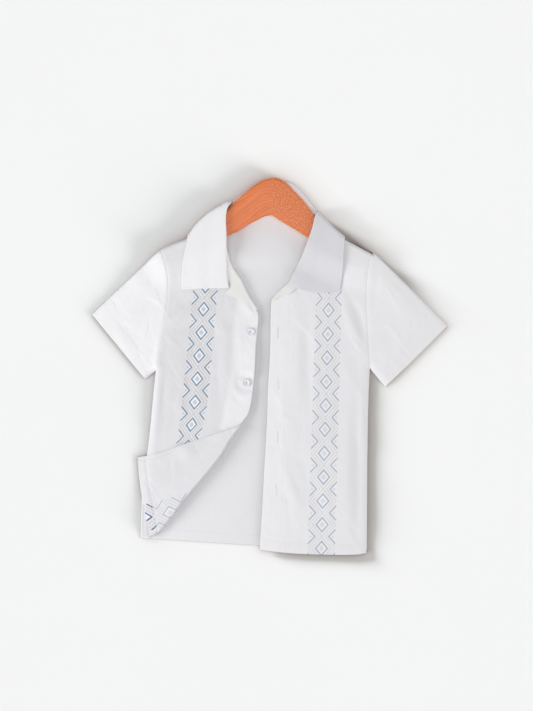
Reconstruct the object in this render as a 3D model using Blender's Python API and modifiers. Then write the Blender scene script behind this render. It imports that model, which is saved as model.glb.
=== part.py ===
"""A child's guayabera shirt, laid flat on its back round a wooden hanger.

The origin lies on the surface under the middle of the shirt. +X is the wearer's left, +Y runs from hem to
neck and +Z goes up, away from the surface. Every size is in millimetres until a mesh is written.

One height field, worked out from the fold lines and the hanger, carries the upper layer of the fronts and
the sleeves, so the pieces meet at their seams. What lies on a panel is made from that field, moved up.
"""
import math
from collections import namedtuple

import bmesh
import bpy
import numpy as np
from mathutils import Vector

MM = 0.001

# Cloth and seams
CLOTH = 1.2
SEAM = 0.3
LAYER = CLOTH + SEAM

# Heights above the surface
FLOOR_MID = CLOTH / 2
FALL_START, FALL_FULL = 128.0, 150.0
HANGER_THICK = 12.0
HANGER_LOW = FLOOR_MID + LAYER + CLOTH / 2 + SEAM
HANGER_MID = HANGER_LOW + HANGER_THICK / 2
OVER_HANGER = HANGER_LOW + HANGER_THICK + CLOTH / 2 + 0.8
BODY_HEIGHT = 5.4
HEM_HEIGHT = 4.4
CUFF_HEIGHT = 4.6
EDGE_ROLL = 5.6
DRAPE_LENGTH = 44.0
HEM_FALL_FROM, HEM_FALL_OVER = -190.0, 60.0
CUFF_FALL_FROM, CUFF_FALL_OVER = 150.0, 90.0

# How far pieces stop short of the line they share, and how far the shoulder's bow reaches down a panel
ARMHOLE_SHIFT = 0.45
LOWER_SHIFT = 1.2
SIDE_SHIFT = 1.0
BACK_SHIFT = 0.3
RIM_CLEAR = SEAM + 0.15
SHOULDER_BOW_LENGTH = 70.0

# Rows and columns of the grids, and the part of a row that its rolled edge takes
ARMHOLE_ROWS = 19
SIDE_ROWS = 8
FRONT_COLS = 18
SLEEVE_ROWS, SLEEVE_UNDER = 10, 13
BACK_ROWS = 20
STATION_STEPS = 24
ROLLED_SHARE = 0.073
ARMHOLE_ROLLED_SHARE = 0.056

# Buttons with one pitch: x, y and how far the middle lies above the middle of the right front's cloth. The first
# two are on top; the corner turns the others over, so they lie between it and the panel.
BUTTON_THICK = 2.4
BUTTON_ON_TOP = CLOTH / 2 + SEAM + BUTTON_THICK / 2
BUTTONS = [(-27, 47, BUTTON_ON_TOP), (-33, -22, BUTTON_ON_TOP), (-62, -97, 2.3), (-113, -115, 2.2)]
BUTTON_PROFILE = [(0.0, 0.5), (3.2, 0.5), (4.2, 1.1), (5.0, 1.2), (5.75, 0.5), (5.45, -0.4), (4.3, -1.2), (0.0, -1.2)]
THREAD_HOLE_RADIUS = 0.75
THREAD_HOLE_OFFSET = 1.5

Fold = namedtuple("Fold", "x0 y0 x1 y1 half_width height")
Arm = namedtuple("Arm", "top_x top_y low_x low_y")
Station = namedtuple("Station", "seam_x seam_y roll_x roll_y tilt radius edge_x edge_y")

# Plan lines, each point is x, y
RIGHT_TOP = [(-64, 217), (-80, 203), (-97, 188), (-112, 175), (-124, 170), (-150, 158), (-177, 133), (-242, 71)]
RIGHT_ARMHOLE = [(-150, 158), (-146, 152), (-140, 129), (-139, 111), (-141, 85), (-145, 56), (-150, 27), (-156, -7)]
RIGHT_SIDE = [(-156, -7), (-159, -34), (-163, -78), (-168, -121), (-175, -177), (-177, -233)]
RIGHT_CUFF = [(-242, 71), (-206, 27), (-170, -17)]
RIGHT_CENTRE = [(-64, 217), (-65, 204), (-65, 186), (-64, 172), (-55.5, 139), (-41, 118), (-31, 98), (-18, 77),
                (-15.5, 68), (-17, 50), (-19, 28), (-21, -16), (-23, -41), (-25, -56), (-30, -69), (-40, -80)]
RIGHT_FOLD = [(-40, -80), (-55, -101), (-68, -122), (-83, -141), (-99, -160), (-116, -180), (-129, -197),
              (-141, -213), (-153, -226), (-163, -233)]
FLAP_TOP = [(-40, -80), (-53, -84), (-98, -99), (-124, -108), (-153, -118), (-181, -124)]
FLAP_HEM = [(-163, -233), (-173, -183), (-177, -161), (-181, -124)]
LEFT_TOP = [(66, 206), (83, 189), (99, 174.5), (120, 163), (137, 154), (150, 147), (242, 56)]
LEFT_ARMHOLE = [(137, 154), (133, 129), (132, 111), (132, 85), (133, 56), (135, 20), (136, -3)]
LEFT_SIDE = [(136, -3), (135, -30), (134, -60), (133, -125), (132, -254)]
LEFT_CUFF = [(242, 56), (200, 14), (157, -27)]
LEFT_CENTRE = [(66, 206), (62, 188), (57, 172), (54, 161), (45, 138), (39, 128), (29, 114), (16, 103), (8, 95),
               (2, 89), (1, 71), (0, 20), (-3, -34), (-4, -74), (-8, -143), (-12, -216), (-14, -249)]
LEFT_HEM = [(-14, -249), (27, -254), (79, -256), (115, -256), (132, -254)]
BACK_NECK = [(-64, 217), (-52, 211), (-27, 208.5), (3, 208), (34, 208), (54, 207), (66, 206)]
BACK_HEM = [(-177, -234), (-14, -244), (132, -249)]
COLLAR_OUTLINE = [(-151, 161), (-125, 173), (-114, 178), (-108, 183.5), (-101, 193), (-92, 202), (-81, 211),
                  (-67, 219), (-56, 225), (-46, 229), (-33, 236), (-16, 244), (3, 249), (19, 251.5), (30, 250),
                  (41, 241), (52, 228.5), (65, 210.8), (83, 193), (99, 178.8), (120, 166.8), (137, 157.5)]

# Lapels: the line a facing rolls round, and the edge it then reaches
RIGHT_LAPEL_ROLL = [(-53.4, 141), (-46, 128), (-39, 118), (-34, 107), (-29, 97), (-22, 86), (-16, 77)]
RIGHT_LAPEL_EDGE = [(-57, 140), (-56, 130), (-54.5, 120), (-53.6, 112), (-54.5, 106.5), (-58.5, 103), (-59.5, 98),
                    (-48, 94), (-38, 90), (-30, 85), (-20.5, 77.5)]
LEFT_LAPEL_ROLL = [(21.5, 110.5), (16, 106), (8, 98), (2, 91)]
LEFT_LAPEL_EDGE = [(25.5, 107.5), (26, 103), (24.5, 98.5), (13, 95), (6, 89)]
FACING_RADIUS = 1.8
FACING_UNDER = 6.5
FACING_ROWS = 12

# Hanger arms: the upper and the lower edge of the wood at each station, from the glued middle to the tip
RIGHT_ARM = [Arm(2.8, 256.4, 0.8, 206), Arm(-10, 253, -6, 204.5), Arm(-22, 246, -13, 201), Arm(-34, 236, -21, 197),
             Arm(-44, 227.5, -30, 192), Arm(-55, 216.5, -41, 185), Arm(-65, 207.5, -53, 179.5),
             Arm(-81, 196, -71, 171), Arm(-97, 182.5, -88, 161), Arm(-112, 170, -105, 153),
             Arm(-127, 160.5, -123, 146.5), Arm(-136, 155.5, -134, 144.5), Arm(-139, 152, -138, 147)]
LEFT_ARM = [Arm(3.1, 256.4, 1.1, 206), Arm(13, 255, 7, 202.5), Arm(24, 248, 14, 198), Arm(34, 237.5, 22, 193),
            Arm(46, 225, 33, 186.5), Arm(56.7, 210.7, 46, 178.5), Arm(64.5, 201, 56, 172.5), Arm(79, 186.7, 72, 163),
            Arm(95, 173, 88, 153.5), Arm(108, 163, 102, 146.5), Arm(119, 155, 116, 141.5),
            Arm(126, 150.5, 124, 140), Arm(129, 147.5, 128, 142.5)]

# Largest folds of the upper layer: a soft ridge (height above zero) or trough from one point to another
FOLDS = [
    Fold(-151, 40, -160, -112, 5, 2.2), Fold(-140, 32, -148, -104, 7, -2.2),
    Fold(-142, 57, -104, 84, 7, 2.4), Fold(-128, 46, -92, 58, 6, -1.2),
    Fold(-62, 60, -58, -60, 8, 1.4), Fold(-46, 40, -44, -46, 6, -1.0),
    Fold(-95, 20, -100, -90, 9, 1.0),
    Fold(98, 96, 130, 2, 8, 2.6), Fold(112, 92, 128, 40, 7, -1.8),
    Fold(36, 78, 38, -60, 8, 1.4), Fold(51, 84, 52, -70, 7, -1.0),
    Fold(12, -104, 44, -226, 9, 1.6), Fold(34, -96, 66, -200, 8, -1.0),
    Fold(118, -46, 120, -240, 6, -1.6), Fold(104, -60, 107, -235, 7, 1.2),
    Fold(-160, 112, -186, 20, 9, -1.2), Fold(-178, 106, -204, 40, 9, 1.2),
    Fold(150, 108, 168, 0, 9, -1.4), Fold(168, 104, 190, 22, 9, 1.2),
]
# The turned corner: how far the panel under its fold swells, the fold's radius at the side and at the centre, and
# how near the corner comes to the panel at its point
FOLD_LIFT = 3.6
FOLD_SWELL = 24.0
FLAP_RADII = (2.1, 2.5)
FLAP_TURNS = 7
FLAP_ROWS = 12
FLAP_END_GAP = 2.0
BEND_ROWS = 7

LAPEL_FROM, LAPEL_TO = 182.0, 170.0

# Sections of the collar, from the right front end round the back of the neck to the left front end: where it is
# sewn on, where it rolls, how the roll's crest points (180 towards the neck, 90 up, 0 away from the neck), its
# radius, and where the leaf would end if it lay flat
COLLAR = [
    Station(-64, 107, -56, 107, 180, 1.8, -120, 105), Station(-64, 118, -57.5, 118, 180, 1.9, -120, 116),
    Station(-64, 134, -59, 134, 180, 2.0, -119, 132), Station(-64, 154, -59.5, 154, 180, 2.0, -117, 151),
    Station(-64, 172, -59, 172, 178, 2.0, -113, 166), Station(-63.8, 187, -59.5, 187, 174, 2.0, -111, 180),
    Station(-63.9, 200, -60, 200, 165, 1.9, -108, 196), Station(-63.5, 210, -59, 211, 145, 1.9, -98, 212),
    Station(-62.8, 217.4, -56.7, 218.6, 110, 1.7, -84, 228), Station(-57, 214, -52.5, 224.2, 70, 1.3, -68, 242),
    Station(-47.5, 210.9, -44.5, 228.6, 25, 0.95, -54, 256), Station(-35, 209.8, -33, 235, 3, 0.8, -40, 268),
    Station(-17, 208.9, -16, 243, 0, 0.75, -20, 280), Station(3, 208.6, 3, 248, 0, 0.75, 3, 286),
    Station(18, 208.6, 19, 250.6, 0, 0.75, 23, 289), Station(29, 208.6, 30, 249.2, 0, 0.75, 44, 284),
    Station(40, 208.5, 41, 240.2, 5, 0.8, 64, 270), Station(50.5, 207.9, 51, 228, 25, 0.95, 80, 254),
    Station(59.5, 207.2, 58.5, 217.5, 60, 1.2, 92, 240), Station(64.6, 207.9, 62.6, 209.2, 105, 1.5, 102, 224),
    Station(63, 199, 60.2, 199, 140, 1.9, 107, 206), Station(60.6, 187, 57, 187, 165, 1.9, 104, 188),
    Station(56.8, 175, 53, 175, 176, 2.0, 101, 172), Station(53, 162, 48.5, 163, 180, 2.0, 100, 158),
    Station(47.8, 147.8, 43.5, 150, 180, 2.0, 98, 144), Station(42.2, 135.2, 37.5, 137, 180, 2.0, 96, 131),
    Station(36.6, 127.2, 32.5, 127.5, 180, 1.9, 94.5, 117), Station(29.4, 117.8, 27.2, 116.5, 180, 1.8, 92.5, 103),
]
# How far the left end of the collar hangs below the straight line from its roll to its point, at shares of its width
LEFT_END_DIP = [(0, 0), (0.1, 6.5), (0.26, 9.3), (0.5, 9.8), (0.8, 5.0), (1, 0)]
DIP_FADE = 26.0
ROLL_PUFF = 3.8
COLLAR_ROLL = 8.0
LEAF_ABOVE = LAYER + 0.8
STAND_ABOVE = LAYER + 0.6
STAND_FROM_WOOD, LEAF_FROM_WOOD = 1.2, 2.8
WOOD_REACH = 7.0
ON_OUTLINE = 0.25
LEAF_STRIPS = 5
LEAF_EDGE_STRIP = 1.5


def ease(t):
    """0 to 1 with level ends, as t goes from 0 to 1."""
    t = np.clip(t, 0.0, 1.0)
    return t * t * (3 - 2 * t)


def smooth_line(points, per_span=8):
    """A Catmull-Rom curve through the points, as a dense line."""
    p = np.array(points, float)
    p = np.vstack([2 * p[0] - p[1], p, 2 * p[-1] - p[-2]])
    t = np.linspace(0, 1, per_span, endpoint=False)[:, None]
    spans = []
    for a, b, c, d in zip(p[:-3], p[1:-2], p[2:-1], p[3:]):
        spans.append(0.5 * (2 * b + (c - a) * t + (2 * a - 5 * b + 4 * c - d) * t**2
                            + (3 * b - a - 3 * c + d) * t**3))
    return np.vstack(spans + [p[-2][None]])


def lengths(line):
    """Distance along a line at each of its points."""
    steps = np.linalg.norm(np.diff(line, axis=0), axis=1)
    return np.concatenate([[0], np.cumsum(steps)])


def along(line, share):
    """The points at the given shares of a line's length."""
    at = lengths(line)
    return np.stack([np.interp(np.asarray(share) * at[-1], at, line[:, k]) for k in range(line.shape[1])], axis=-1)


def inset(line, distance):
    """A plan line moved sideways, to the left of its direction."""
    line = np.asarray(line, float)
    way = np.gradient(line, axis=0)
    way /= np.linalg.norm(way, axis=1)[:, None]
    return line + distance * np.stack([-way[:, 1], way[:, 0]], axis=1)


def nearest(points, line):
    """Distance from each point to a plan line, the foot on it, and whether the point is left of it."""
    points = np.asarray(points, float)
    a, b = line[:-1], line[1:]
    run = b - a
    rel = points[..., None, :] - a
    t = np.clip((rel * run).sum(-1) / (run * run).sum(-1), 0, 1)
    foot = a + t[..., None] * run
    gap = np.linalg.norm(points[..., None, :] - foot, axis=-1)
    best = gap.argmin(-1)
    pick = best[..., None]
    left = np.take_along_axis(run[:, 0] * rel[..., 1] - run[:, 1] * rel[..., 0], pick, -1)[..., 0] > 0
    foot = np.take_along_axis(foot, pick[..., None], -2)[..., 0, :]
    return np.take_along_axis(gap, pick, -1)[..., 0], foot, left


def rounded(distance, radius):
    """The height share of a rolled edge: a quarter ellipse, then level."""
    return np.sqrt(1 - (1 - np.clip(distance / radius, 0, 1)) ** 2)


FOLD_LINES = [smooth_line(RIGHT_TOP), np.array([(-170, -17)] + RIGHT_SIDE, float),
              smooth_line(LEFT_TOP), np.array([(157, -27)] + LEFT_SIDE, float)]
RIGHT_SHOULDER = FOLD_LINES[0][:5 * 8 + 1]
LEFT_SHOULDER = FOLD_LINES[2][:4 * 8 + 1]
COLLAR_EDGE = smooth_line(COLLAR_OUTLINE)
RIGHT_FOLD_LINE = smooth_line(RIGHT_FOLD)


def back_mid(y):
    """Height of the middle of the back panel, which lies over the collar's fall near the neck."""
    return FLOOR_MID + LAYER * ease((y - FALL_START) / (FALL_FULL - FALL_START))


def beyond_hanger(points):
    """Distance from the hanger's arms in plan, below zero inside them."""
    best = np.full(points.shape[:-1], np.inf)
    for arm in (RIGHT_ARM, LEFT_ARM):
        rows = np.array(arm, float)
        middle = (rows[:, :2] + rows[:, 2:]) / 2
        half = np.linalg.norm(rows[:, :2] - rows[:, 2:], axis=1) / 2
        for a, b, wide_a, wide_b in zip(middle[:-1], middle[1:], half[:-1], half[1:]):
            run = b - a
            t = np.clip(((points - a) * run).sum(-1) / (run @ run), 0, 1)
            gap = np.linalg.norm(points - a - t[..., None] * run, axis=-1)
            best = np.minimum(best, gap - wide_a - t * (wide_b - wide_a))
    return best


def fold_relief(points, folds):
    """Sum of soft ridges and troughs, each fading out towards both its ends."""
    total = np.zeros(points.shape[:-1])
    for fold in folds:
        a, b = np.array([fold.x0, fold.y0]), np.array([fold.x1, fold.y1])
        run = b - a
        t = ((points - a) * run).sum(-1) / (run @ run)
        off = np.linalg.norm(points - a - np.clip(t, 0, 1)[..., None] * run, axis=-1)
        total += fold.height * np.exp(-(off / fold.half_width) ** 2) * ease(1.5 * np.minimum(t + 0.2, 1.2 - t))
    return total


def plateau(points):
    """Height of the upper layer away from its rolled edges."""
    x, y = points[..., 0], points[..., 1]
    base = BODY_HEIGHT - (BODY_HEIGHT - HEM_HEIGHT) * ease((HEM_FALL_FROM - y) / HEM_FALL_OVER)
    base = base - (BODY_HEIGHT - CUFF_HEIGHT) * ease((np.abs(x) - CUFF_FALL_FROM) / CUFF_FALL_OVER)
    near = beyond_hanger(points)
    drape = 0.5 * (1 + np.cos(np.pi * np.clip((near - 1) / DRAPE_LENGTH, 0, 1)))
    relief = fold_relief(points, FOLDS) * (1 - drape)
    beside_fold = nearest(points, RIGHT_FOLD_LINE)[0]
    turned = FOLD_LIFT * np.exp(-(beside_fold / FOLD_SWELL) ** 2) * ease((y - RIGHT_FOLD[-1][1]) / 60)
    on_right = x < RIGHT_CENTRE[-3][0]
    return base + (OVER_HANGER - base) * drape + relief + turned * on_right


def lift(points, low):
    """Height of the middle of the upper layer, which rolls down to low at the garment's fold lines."""
    points = np.asarray(points, float)
    edge = np.min([nearest(points, line)[0] for line in FOLD_LINES], axis=0)
    return low + (plateau(points) - low) * rounded(edge - CLOTH / 2, EDGE_ROLL)


def front_low(y):
    """Height of a front's rim, just clear of the back panel."""
    return back_mid(y) + CLOTH / 2 + RIM_CLEAR


def front_height(points):
    return lift(points, front_low(points[..., 1]))


def front_normal(points):
    """Unit normals of the fronts' height field, by central differences."""
    step = 0.5
    dx = (front_height(points + [step, 0]) - front_height(points - [step, 0])) / (2 * step)
    dy = (front_height(points + [0, step]) - front_height(points - [0, step])) / (2 * step)
    normal = np.stack([-dx, -dy, np.ones_like(dx)], axis=-1)
    return normal / np.linalg.norm(normal, axis=-1, keepdims=True)


def with_height(plan, height):
    return np.concatenate([plan, np.broadcast_to(height, plan.shape[:-1])[..., None]], axis=-1)


def rows_between(left, right, stops):
    """Straight rows between two lines of row ends, each cut at the stops, given as shares."""
    return left[:, None, :] + (right - left)[:, None, :] * stops[..., None]


def edge_stops(count, roll_share, both=False):
    """Shares across a row: close steps over a rolled edge at the start, then even ones."""
    roll = roll_share * (1 - np.cos(np.linspace(0, np.pi / 2, 5)))
    if not both:
        return np.concatenate([roll, np.linspace(roll_share, 1, count - 4)[1:]])
    inner = np.linspace(roll_share, 1 - roll_share, count - 8)[1:-1]
    return np.concatenate([roll, inner, 1 - roll[::-1]])


def new_material(name, colour, roughness, metallic=0.0):
    material = bpy.data.materials.new(name)
    material.use_nodes = True
    shader = material.node_tree.nodes["Principled BSDF"]
    shader.inputs["Base Color"].default_value = (*colour, 1)
    shader.inputs["Roughness"].default_value = roughness
    shader.inputs["Metallic"].default_value = metallic
    return material


def add_mesh(name, bm, material):
    mesh = bpy.data.meshes.new(name)
    bm.to_mesh(mesh)
    bm.free()
    mesh.materials.append(material)
    obj = bpy.data.objects.new(name, mesh)
    SHIRT.objects.link(obj)
    return obj


def grid_mesh(points, closed=False):
    """A grid whose rows and columns take the given points, joined round its columns where closed."""
    rows, cols = points.shape[:2]
    if closed:
        points = np.concatenate([points, points[:, :1]], axis=1)
        cols += 1
    bm = bmesh.new()
    bmesh.ops.create_grid(bm, x_segments=cols - 1, y_segments=rows - 1, size=1.0)
    for vert in bm.verts:
        col = round((vert.co.x + 1) / 2 * (cols - 1))
        row = round((vert.co.y + 1) / 2 * (rows - 1))
        vert.co = points[row, col] * MM
    bmesh.ops.remove_doubles(bm, verts=bm.verts, dist=0.00001)
    return bm


def cloth(name, points, material, closed=False):
    """A cut piece: an open surface down the middle of the cloth, given its thickness by Solidify."""
    obj = add_mesh(name, grid_mesh(points, closed), material)
    obj.data.shade_smooth()
    wall = obj.modifiers.new("wall", "SOLIDIFY")
    wall.thickness = CLOTH * MM
    wall.offset = 0
    return obj


def armhole_stops():
    """Shares along an armhole, the same for a front and for the upper layer of its sleeve."""
    return edge_stops(ARMHOLE_ROWS, ARMHOLE_ROLLED_SHARE, both=True)


def panel_side(armhole, side):
    """Row ends of a front down its armhole, then down its side."""
    return np.vstack([along(armhole, armhole_stops())[:-1], along(side, np.linspace(0, 1, SIDE_ROWS + 1))])


def follow_shoulder(panel, shoulder):
    """A panel's rows bent to the shoulder line at the top, less and less further down."""
    chord = np.linalg.norm(panel[0] - panel[0, 0], axis=1) / np.linalg.norm(panel[0, -1] - panel[0, 0])
    bow = shoulder - (shoulder[0] + (panel[0, -1] - shoulder[0]) * chord[:, None])
    down = np.linalg.norm(panel[:, 0] - panel[0, 0], axis=1)
    fade = 1 - ease((down - EDGE_ROLL) / SHOULDER_BOW_LENGTH)
    return panel + bow * fade[:, None, None]


def make_back(material):
    right = np.vstack([inset(smooth_line(RIGHT_ARMHOLE), ARMHOLE_SHIFT),
                       np.array(RIGHT_SIDE[1:], float) + [BACK_SHIFT, 0]])
    left = np.vstack([inset(smooth_line(LEFT_ARMHOLE), -ARMHOLE_SHIFT),
                      np.array(LEFT_SIDE[1:-1], float) - [BACK_SHIFT, 0],
                      BACK_HEM[-1:]])
    shoulder_right = along(inset(RIGHT_SHOULDER, BACK_SHIFT)[::-1], np.linspace(0, 1, 6))
    shoulder_left = along(inset(LEFT_SHOULDER, -BACK_SHIFT), np.linspace(0, 1, 6))
    neck = along(inset(smooth_line(BACK_NECK), -SEAM - 0.2), np.linspace(0, 1, 10))
    top = np.vstack([shoulder_right, neck[1:-1], shoulder_left])
    across = np.linspace(0, 1, len(top))[:, None]
    hem = along(smooth_line(BACK_HEM), across[:, 0])
    top_bow = top - (top[0] + (top[-1] - top[0]) * across)
    hem_bow = hem - (hem[0] + (hem[-1] - hem[0]) * across)
    down = np.linspace(0, 1, BACK_ROWS)
    share = (0.5 * down + 0.5 * down**2)[:, None, None]
    plan = rows_between(along(right, share[:, 0, 0]), along(left, share[:, 0, 0]),
                        np.broadcast_to(across[:, 0], (BACK_ROWS, len(top))))
    plan = plan + top_bow * (1 - ease(share * 1.6)) + hem_bow * share**4
    return cloth("back", with_height(plan, back_mid(plan[..., 1])), material)


def make_front_right(material):
    """The panel down to its turned corner, the roll of the fold, then the corner, which narrows to a point."""
    side = np.vstack([np.array(RIGHT_SIDE, float) + [SIDE_SHIFT, 0], [(-168, -233.4)]])
    centre = smooth_line(RIGHT_CENTRE)
    cols = FRONT_COLS
    radius = np.linspace(*FLAP_RADII, cols)
    left = panel_side(inset(smooth_line(RIGHT_ARMHOLE), ARMHOLE_SHIFT), side)
    panel_rows = len(left)
    right = along(centre, lengths(left) / lengths(left)[-1])
    stops = edge_stops(cols, ROLLED_SHARE)
    fold = along(RIGHT_FOLD_LINE[::-1], stops)
    inward = inset(fold, 1.0) - fold
    start = fold + inward * radius[:, None]
    panel = rows_between(left, right, np.broadcast_to(stops, (panel_rows, cols)))
    panel = follow_shoulder(panel, along(inset(RIGHT_SHOULDER, CLOTH / 2)[::-1], stops))
    bow = start - (panel[-1, 0] + (panel[-1, -1] - panel[-1, 0]) * stops[:, None])
    bend = ease((np.arange(panel_rows) - panel_rows + 1 + BEND_ROWS) / BEND_ROWS)[:, None, None]
    panel = panel + bow * bend
    parts = [with_height(panel, front_height(panel))]
    base = front_height(start)
    for angle in np.linspace(0, np.pi, FLAP_TURNS + 1)[1:]:
        plan = start - inward * (radius * math.sin(angle))[:, None]
        parts.append(with_height(plan, base + radius * (1 - math.cos(angle)))[None])
    share = np.linspace(0, 1, FLAP_ROWS + 1)[1:]
    hem = along(smooth_line(FLAP_HEM), share)
    edge = along(smooth_line(FLAP_TOP), share)
    chord = start[0] + (start[-1] - start[0]) * stops[:, None]
    flap = rows_between(hem, edge, np.broadcast_to(stops, (FLAP_ROWS, cols)))
    flap = flap + (start - chord) * (1 - share[:, None, None])
    gap = 2 * radius + (FLAP_END_GAP - 2 * radius) * ease((share[:, None] - 0.6) / 0.4)
    under = np.maximum(front_height(flap), plateau(flap) - 1.6)
    parts.append(with_height(flap, under + gap))
    return cloth("front_right", np.concatenate(parts), material)


def make_front_left(material):
    left = panel_side(inset(smooth_line(LEFT_ARMHOLE), -ARMHOLE_SHIFT), np.array(LEFT_SIDE, float) - [SIDE_SHIFT, 0])
    rows, cols = len(left), FRONT_COLS
    stops = edge_stops(cols, ROLLED_SHARE)
    right = along(smooth_line(LEFT_CENTRE), lengths(left) / lengths(left)[-1])
    plan = rows_between(left, right, np.broadcast_to(stops, (rows, cols)))
    plan = follow_shoulder(plan, along(inset(LEFT_SHOULDER, -CLOTH / 2)[::-1], stops))
    hem = along(smooth_line(LEFT_HEM)[::-1], stops)
    chord = hem[0] + (hem[-1] - hem[0]) * stops[:, None]
    plan = plan + (hem - chord) * (ease(np.linspace(-3, 1, rows)))[:, None, None]
    return cloth("front_left", with_height(plan, front_height(plan)), material)


def make_sleeve(name, armhole, cuff, top, low, outward, material):
    """A flattened tube between the armhole and the cuff, whose lower layer lies on the surface."""
    s = np.linspace(0, 1, SLEEVE_ROWS)[:, None, None]
    armhole = inset(smooth_line(armhole), outward * ARMHOLE_SHIFT)
    cuff, low = smooth_line(cuff), np.array(low, float)

    def patch(share):
        a, c = along(armhole, share)[None], along(cuff, share)[None]
        t, u = along(top, s[:, 0, 0])[:, None], along(low, s[:, 0, 0])[:, None]
        q = np.asarray(share)[None, :, None]
        corners = ((1 - s) * ((1 - q) * armhole[0] + q * armhole[-1])
                   + s * ((1 - q) * cuff[0] + q * cuff[-1]))
        return (1 - s) * a + s * c + (1 - q) * t + q * u - corners

    over = patch(armhole_stops())
    under = patch(np.linspace(1, 0, SLEEVE_UNDER)[1:-1])
    under[..., 0] += outward * LOWER_SHIFT * (1 - s[..., 0]) ** 8
    ring = np.concatenate([with_height(over, lift(over, FLOOR_MID)), with_height(under, FLOOR_MID)], axis=1)
    return cloth(name, ring, material, closed=True)


def beyond_collar(points):
    """Distance inside the collar's outline in plan, below zero outside it, and the nearest point on it."""
    gap, foot, left = nearest(points, COLLAR_EDGE)
    return np.where(left, -gap, gap), foot


def leaf_surface(points, rise=0.0):
    """The collar's leaf over the fronts, down the shoulder, and on under the back where it lies past the fold."""
    gap, foot = beyond_collar(points)
    top = plateau(points) + LEAF_ABOVE + rise
    inside = FLOOR_MID + (top - FLOOR_MID) * rounded(np.maximum(gap, 0), COLLAR_ROLL)
    plan = np.where(gap[..., None] > 0, points, 2 * foot - points)
    return with_height(plan, np.where(gap > 0, inside, FLOOR_MID))


def leaf_steps(start, out, first, reach):
    """Distances along a section of the leaf, close together where it turns down over the shoulder."""
    fine = np.linspace(first, reach, 240)
    gap = beyond_collar(start + out * fine[:, None])[0]
    crossing = reach - min(LEAF_EDGE_STRIP + 0.6 * max(gap[-1], 0), 0.15 * reach)
    turn = crossing - COLLAR_ROLL
    if gap[-1] < 0:
        crossing = np.clip(np.interp(0, -gap, fine), first + 0.06 * reach, crossing)
    if gap[-1] < COLLAR_ROLL < gap[0]:
        turn = np.interp(-COLLAR_ROLL, -gap, fine)
    turn = np.clip(turn, first + 0.15 * (crossing - first), crossing - 0.3 * (crossing - first))
    bend = turn + (crossing - turn) * np.sin(np.linspace(0, np.pi / 2, LEAF_STRIPS))
    before = np.linspace(first, turn, LEAF_STRIPS + 1)[1:-1]
    return np.concatenate([before, bend, np.linspace(crossing, reach, LEAF_STRIPS)[1:]])


def collar_sections():
    """Rows of the collar table, close together where the leaf's edge comes to the outline."""
    dense = smooth_line([tuple(row) for row in COLLAR], per_span=STATION_STEPS)
    gap = beyond_collar(dense[:, 6:8])[0]
    marks = [0]
    for wanted in COLLAR_ROLL * (1 - np.cos(np.linspace(0, np.pi / 2, LEAF_STRIPS))):
        marks += [int(k) for k in np.flatnonzero(np.diff(gap > wanted))]
    even = [k for k in range(0, len(dense), STATION_STEPS // 2)
            if (k % STATION_STEPS == 0 or max(dense[k, 4], dense[k, 2]) > 2) and min(abs(k - m) for m in marks[1:]) > 3]
    rows = dense[sorted(set(marks + even))]
    gap, foot = beyond_collar(rows[:, 6:8])
    on_outline = np.abs(gap) < ON_OUTLINE
    rows[on_outline, 6:8] = foot[on_outline]
    return rows


def clear_of_wood(points, distances):
    """Cloth beside a hanger arm moved straight out from its upper edge, to the distance given for its column."""
    for arm in (RIGHT_ARM, LEFT_ARM):
        edge = smooth_line([row[:2] for row in arm])
        gap, foot, left = nearest(points[..., :2], edge)
        outside = left if edge[-1, 0] > edge[0, 0] else ~left
        signed = np.where(outside, gap, -gap)
        way = (points[..., :2] - foot) * np.where(outside, 1, -1)[..., None] / np.maximum(gap, 1e-6)[..., None]
        low, high = HANGER_LOW - LAYER / 2, HANGER_LOW + HANGER_THICK + 0.5
        beside = (points[..., 2] > low) & (points[..., 2] < high) & (signed < distances) & (signed > -WOOD_REACH)
        moved = foot + way * distances[:, None]
        points[..., :2] = np.where(beside[..., None], moved, points[..., :2])
    return points


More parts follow.
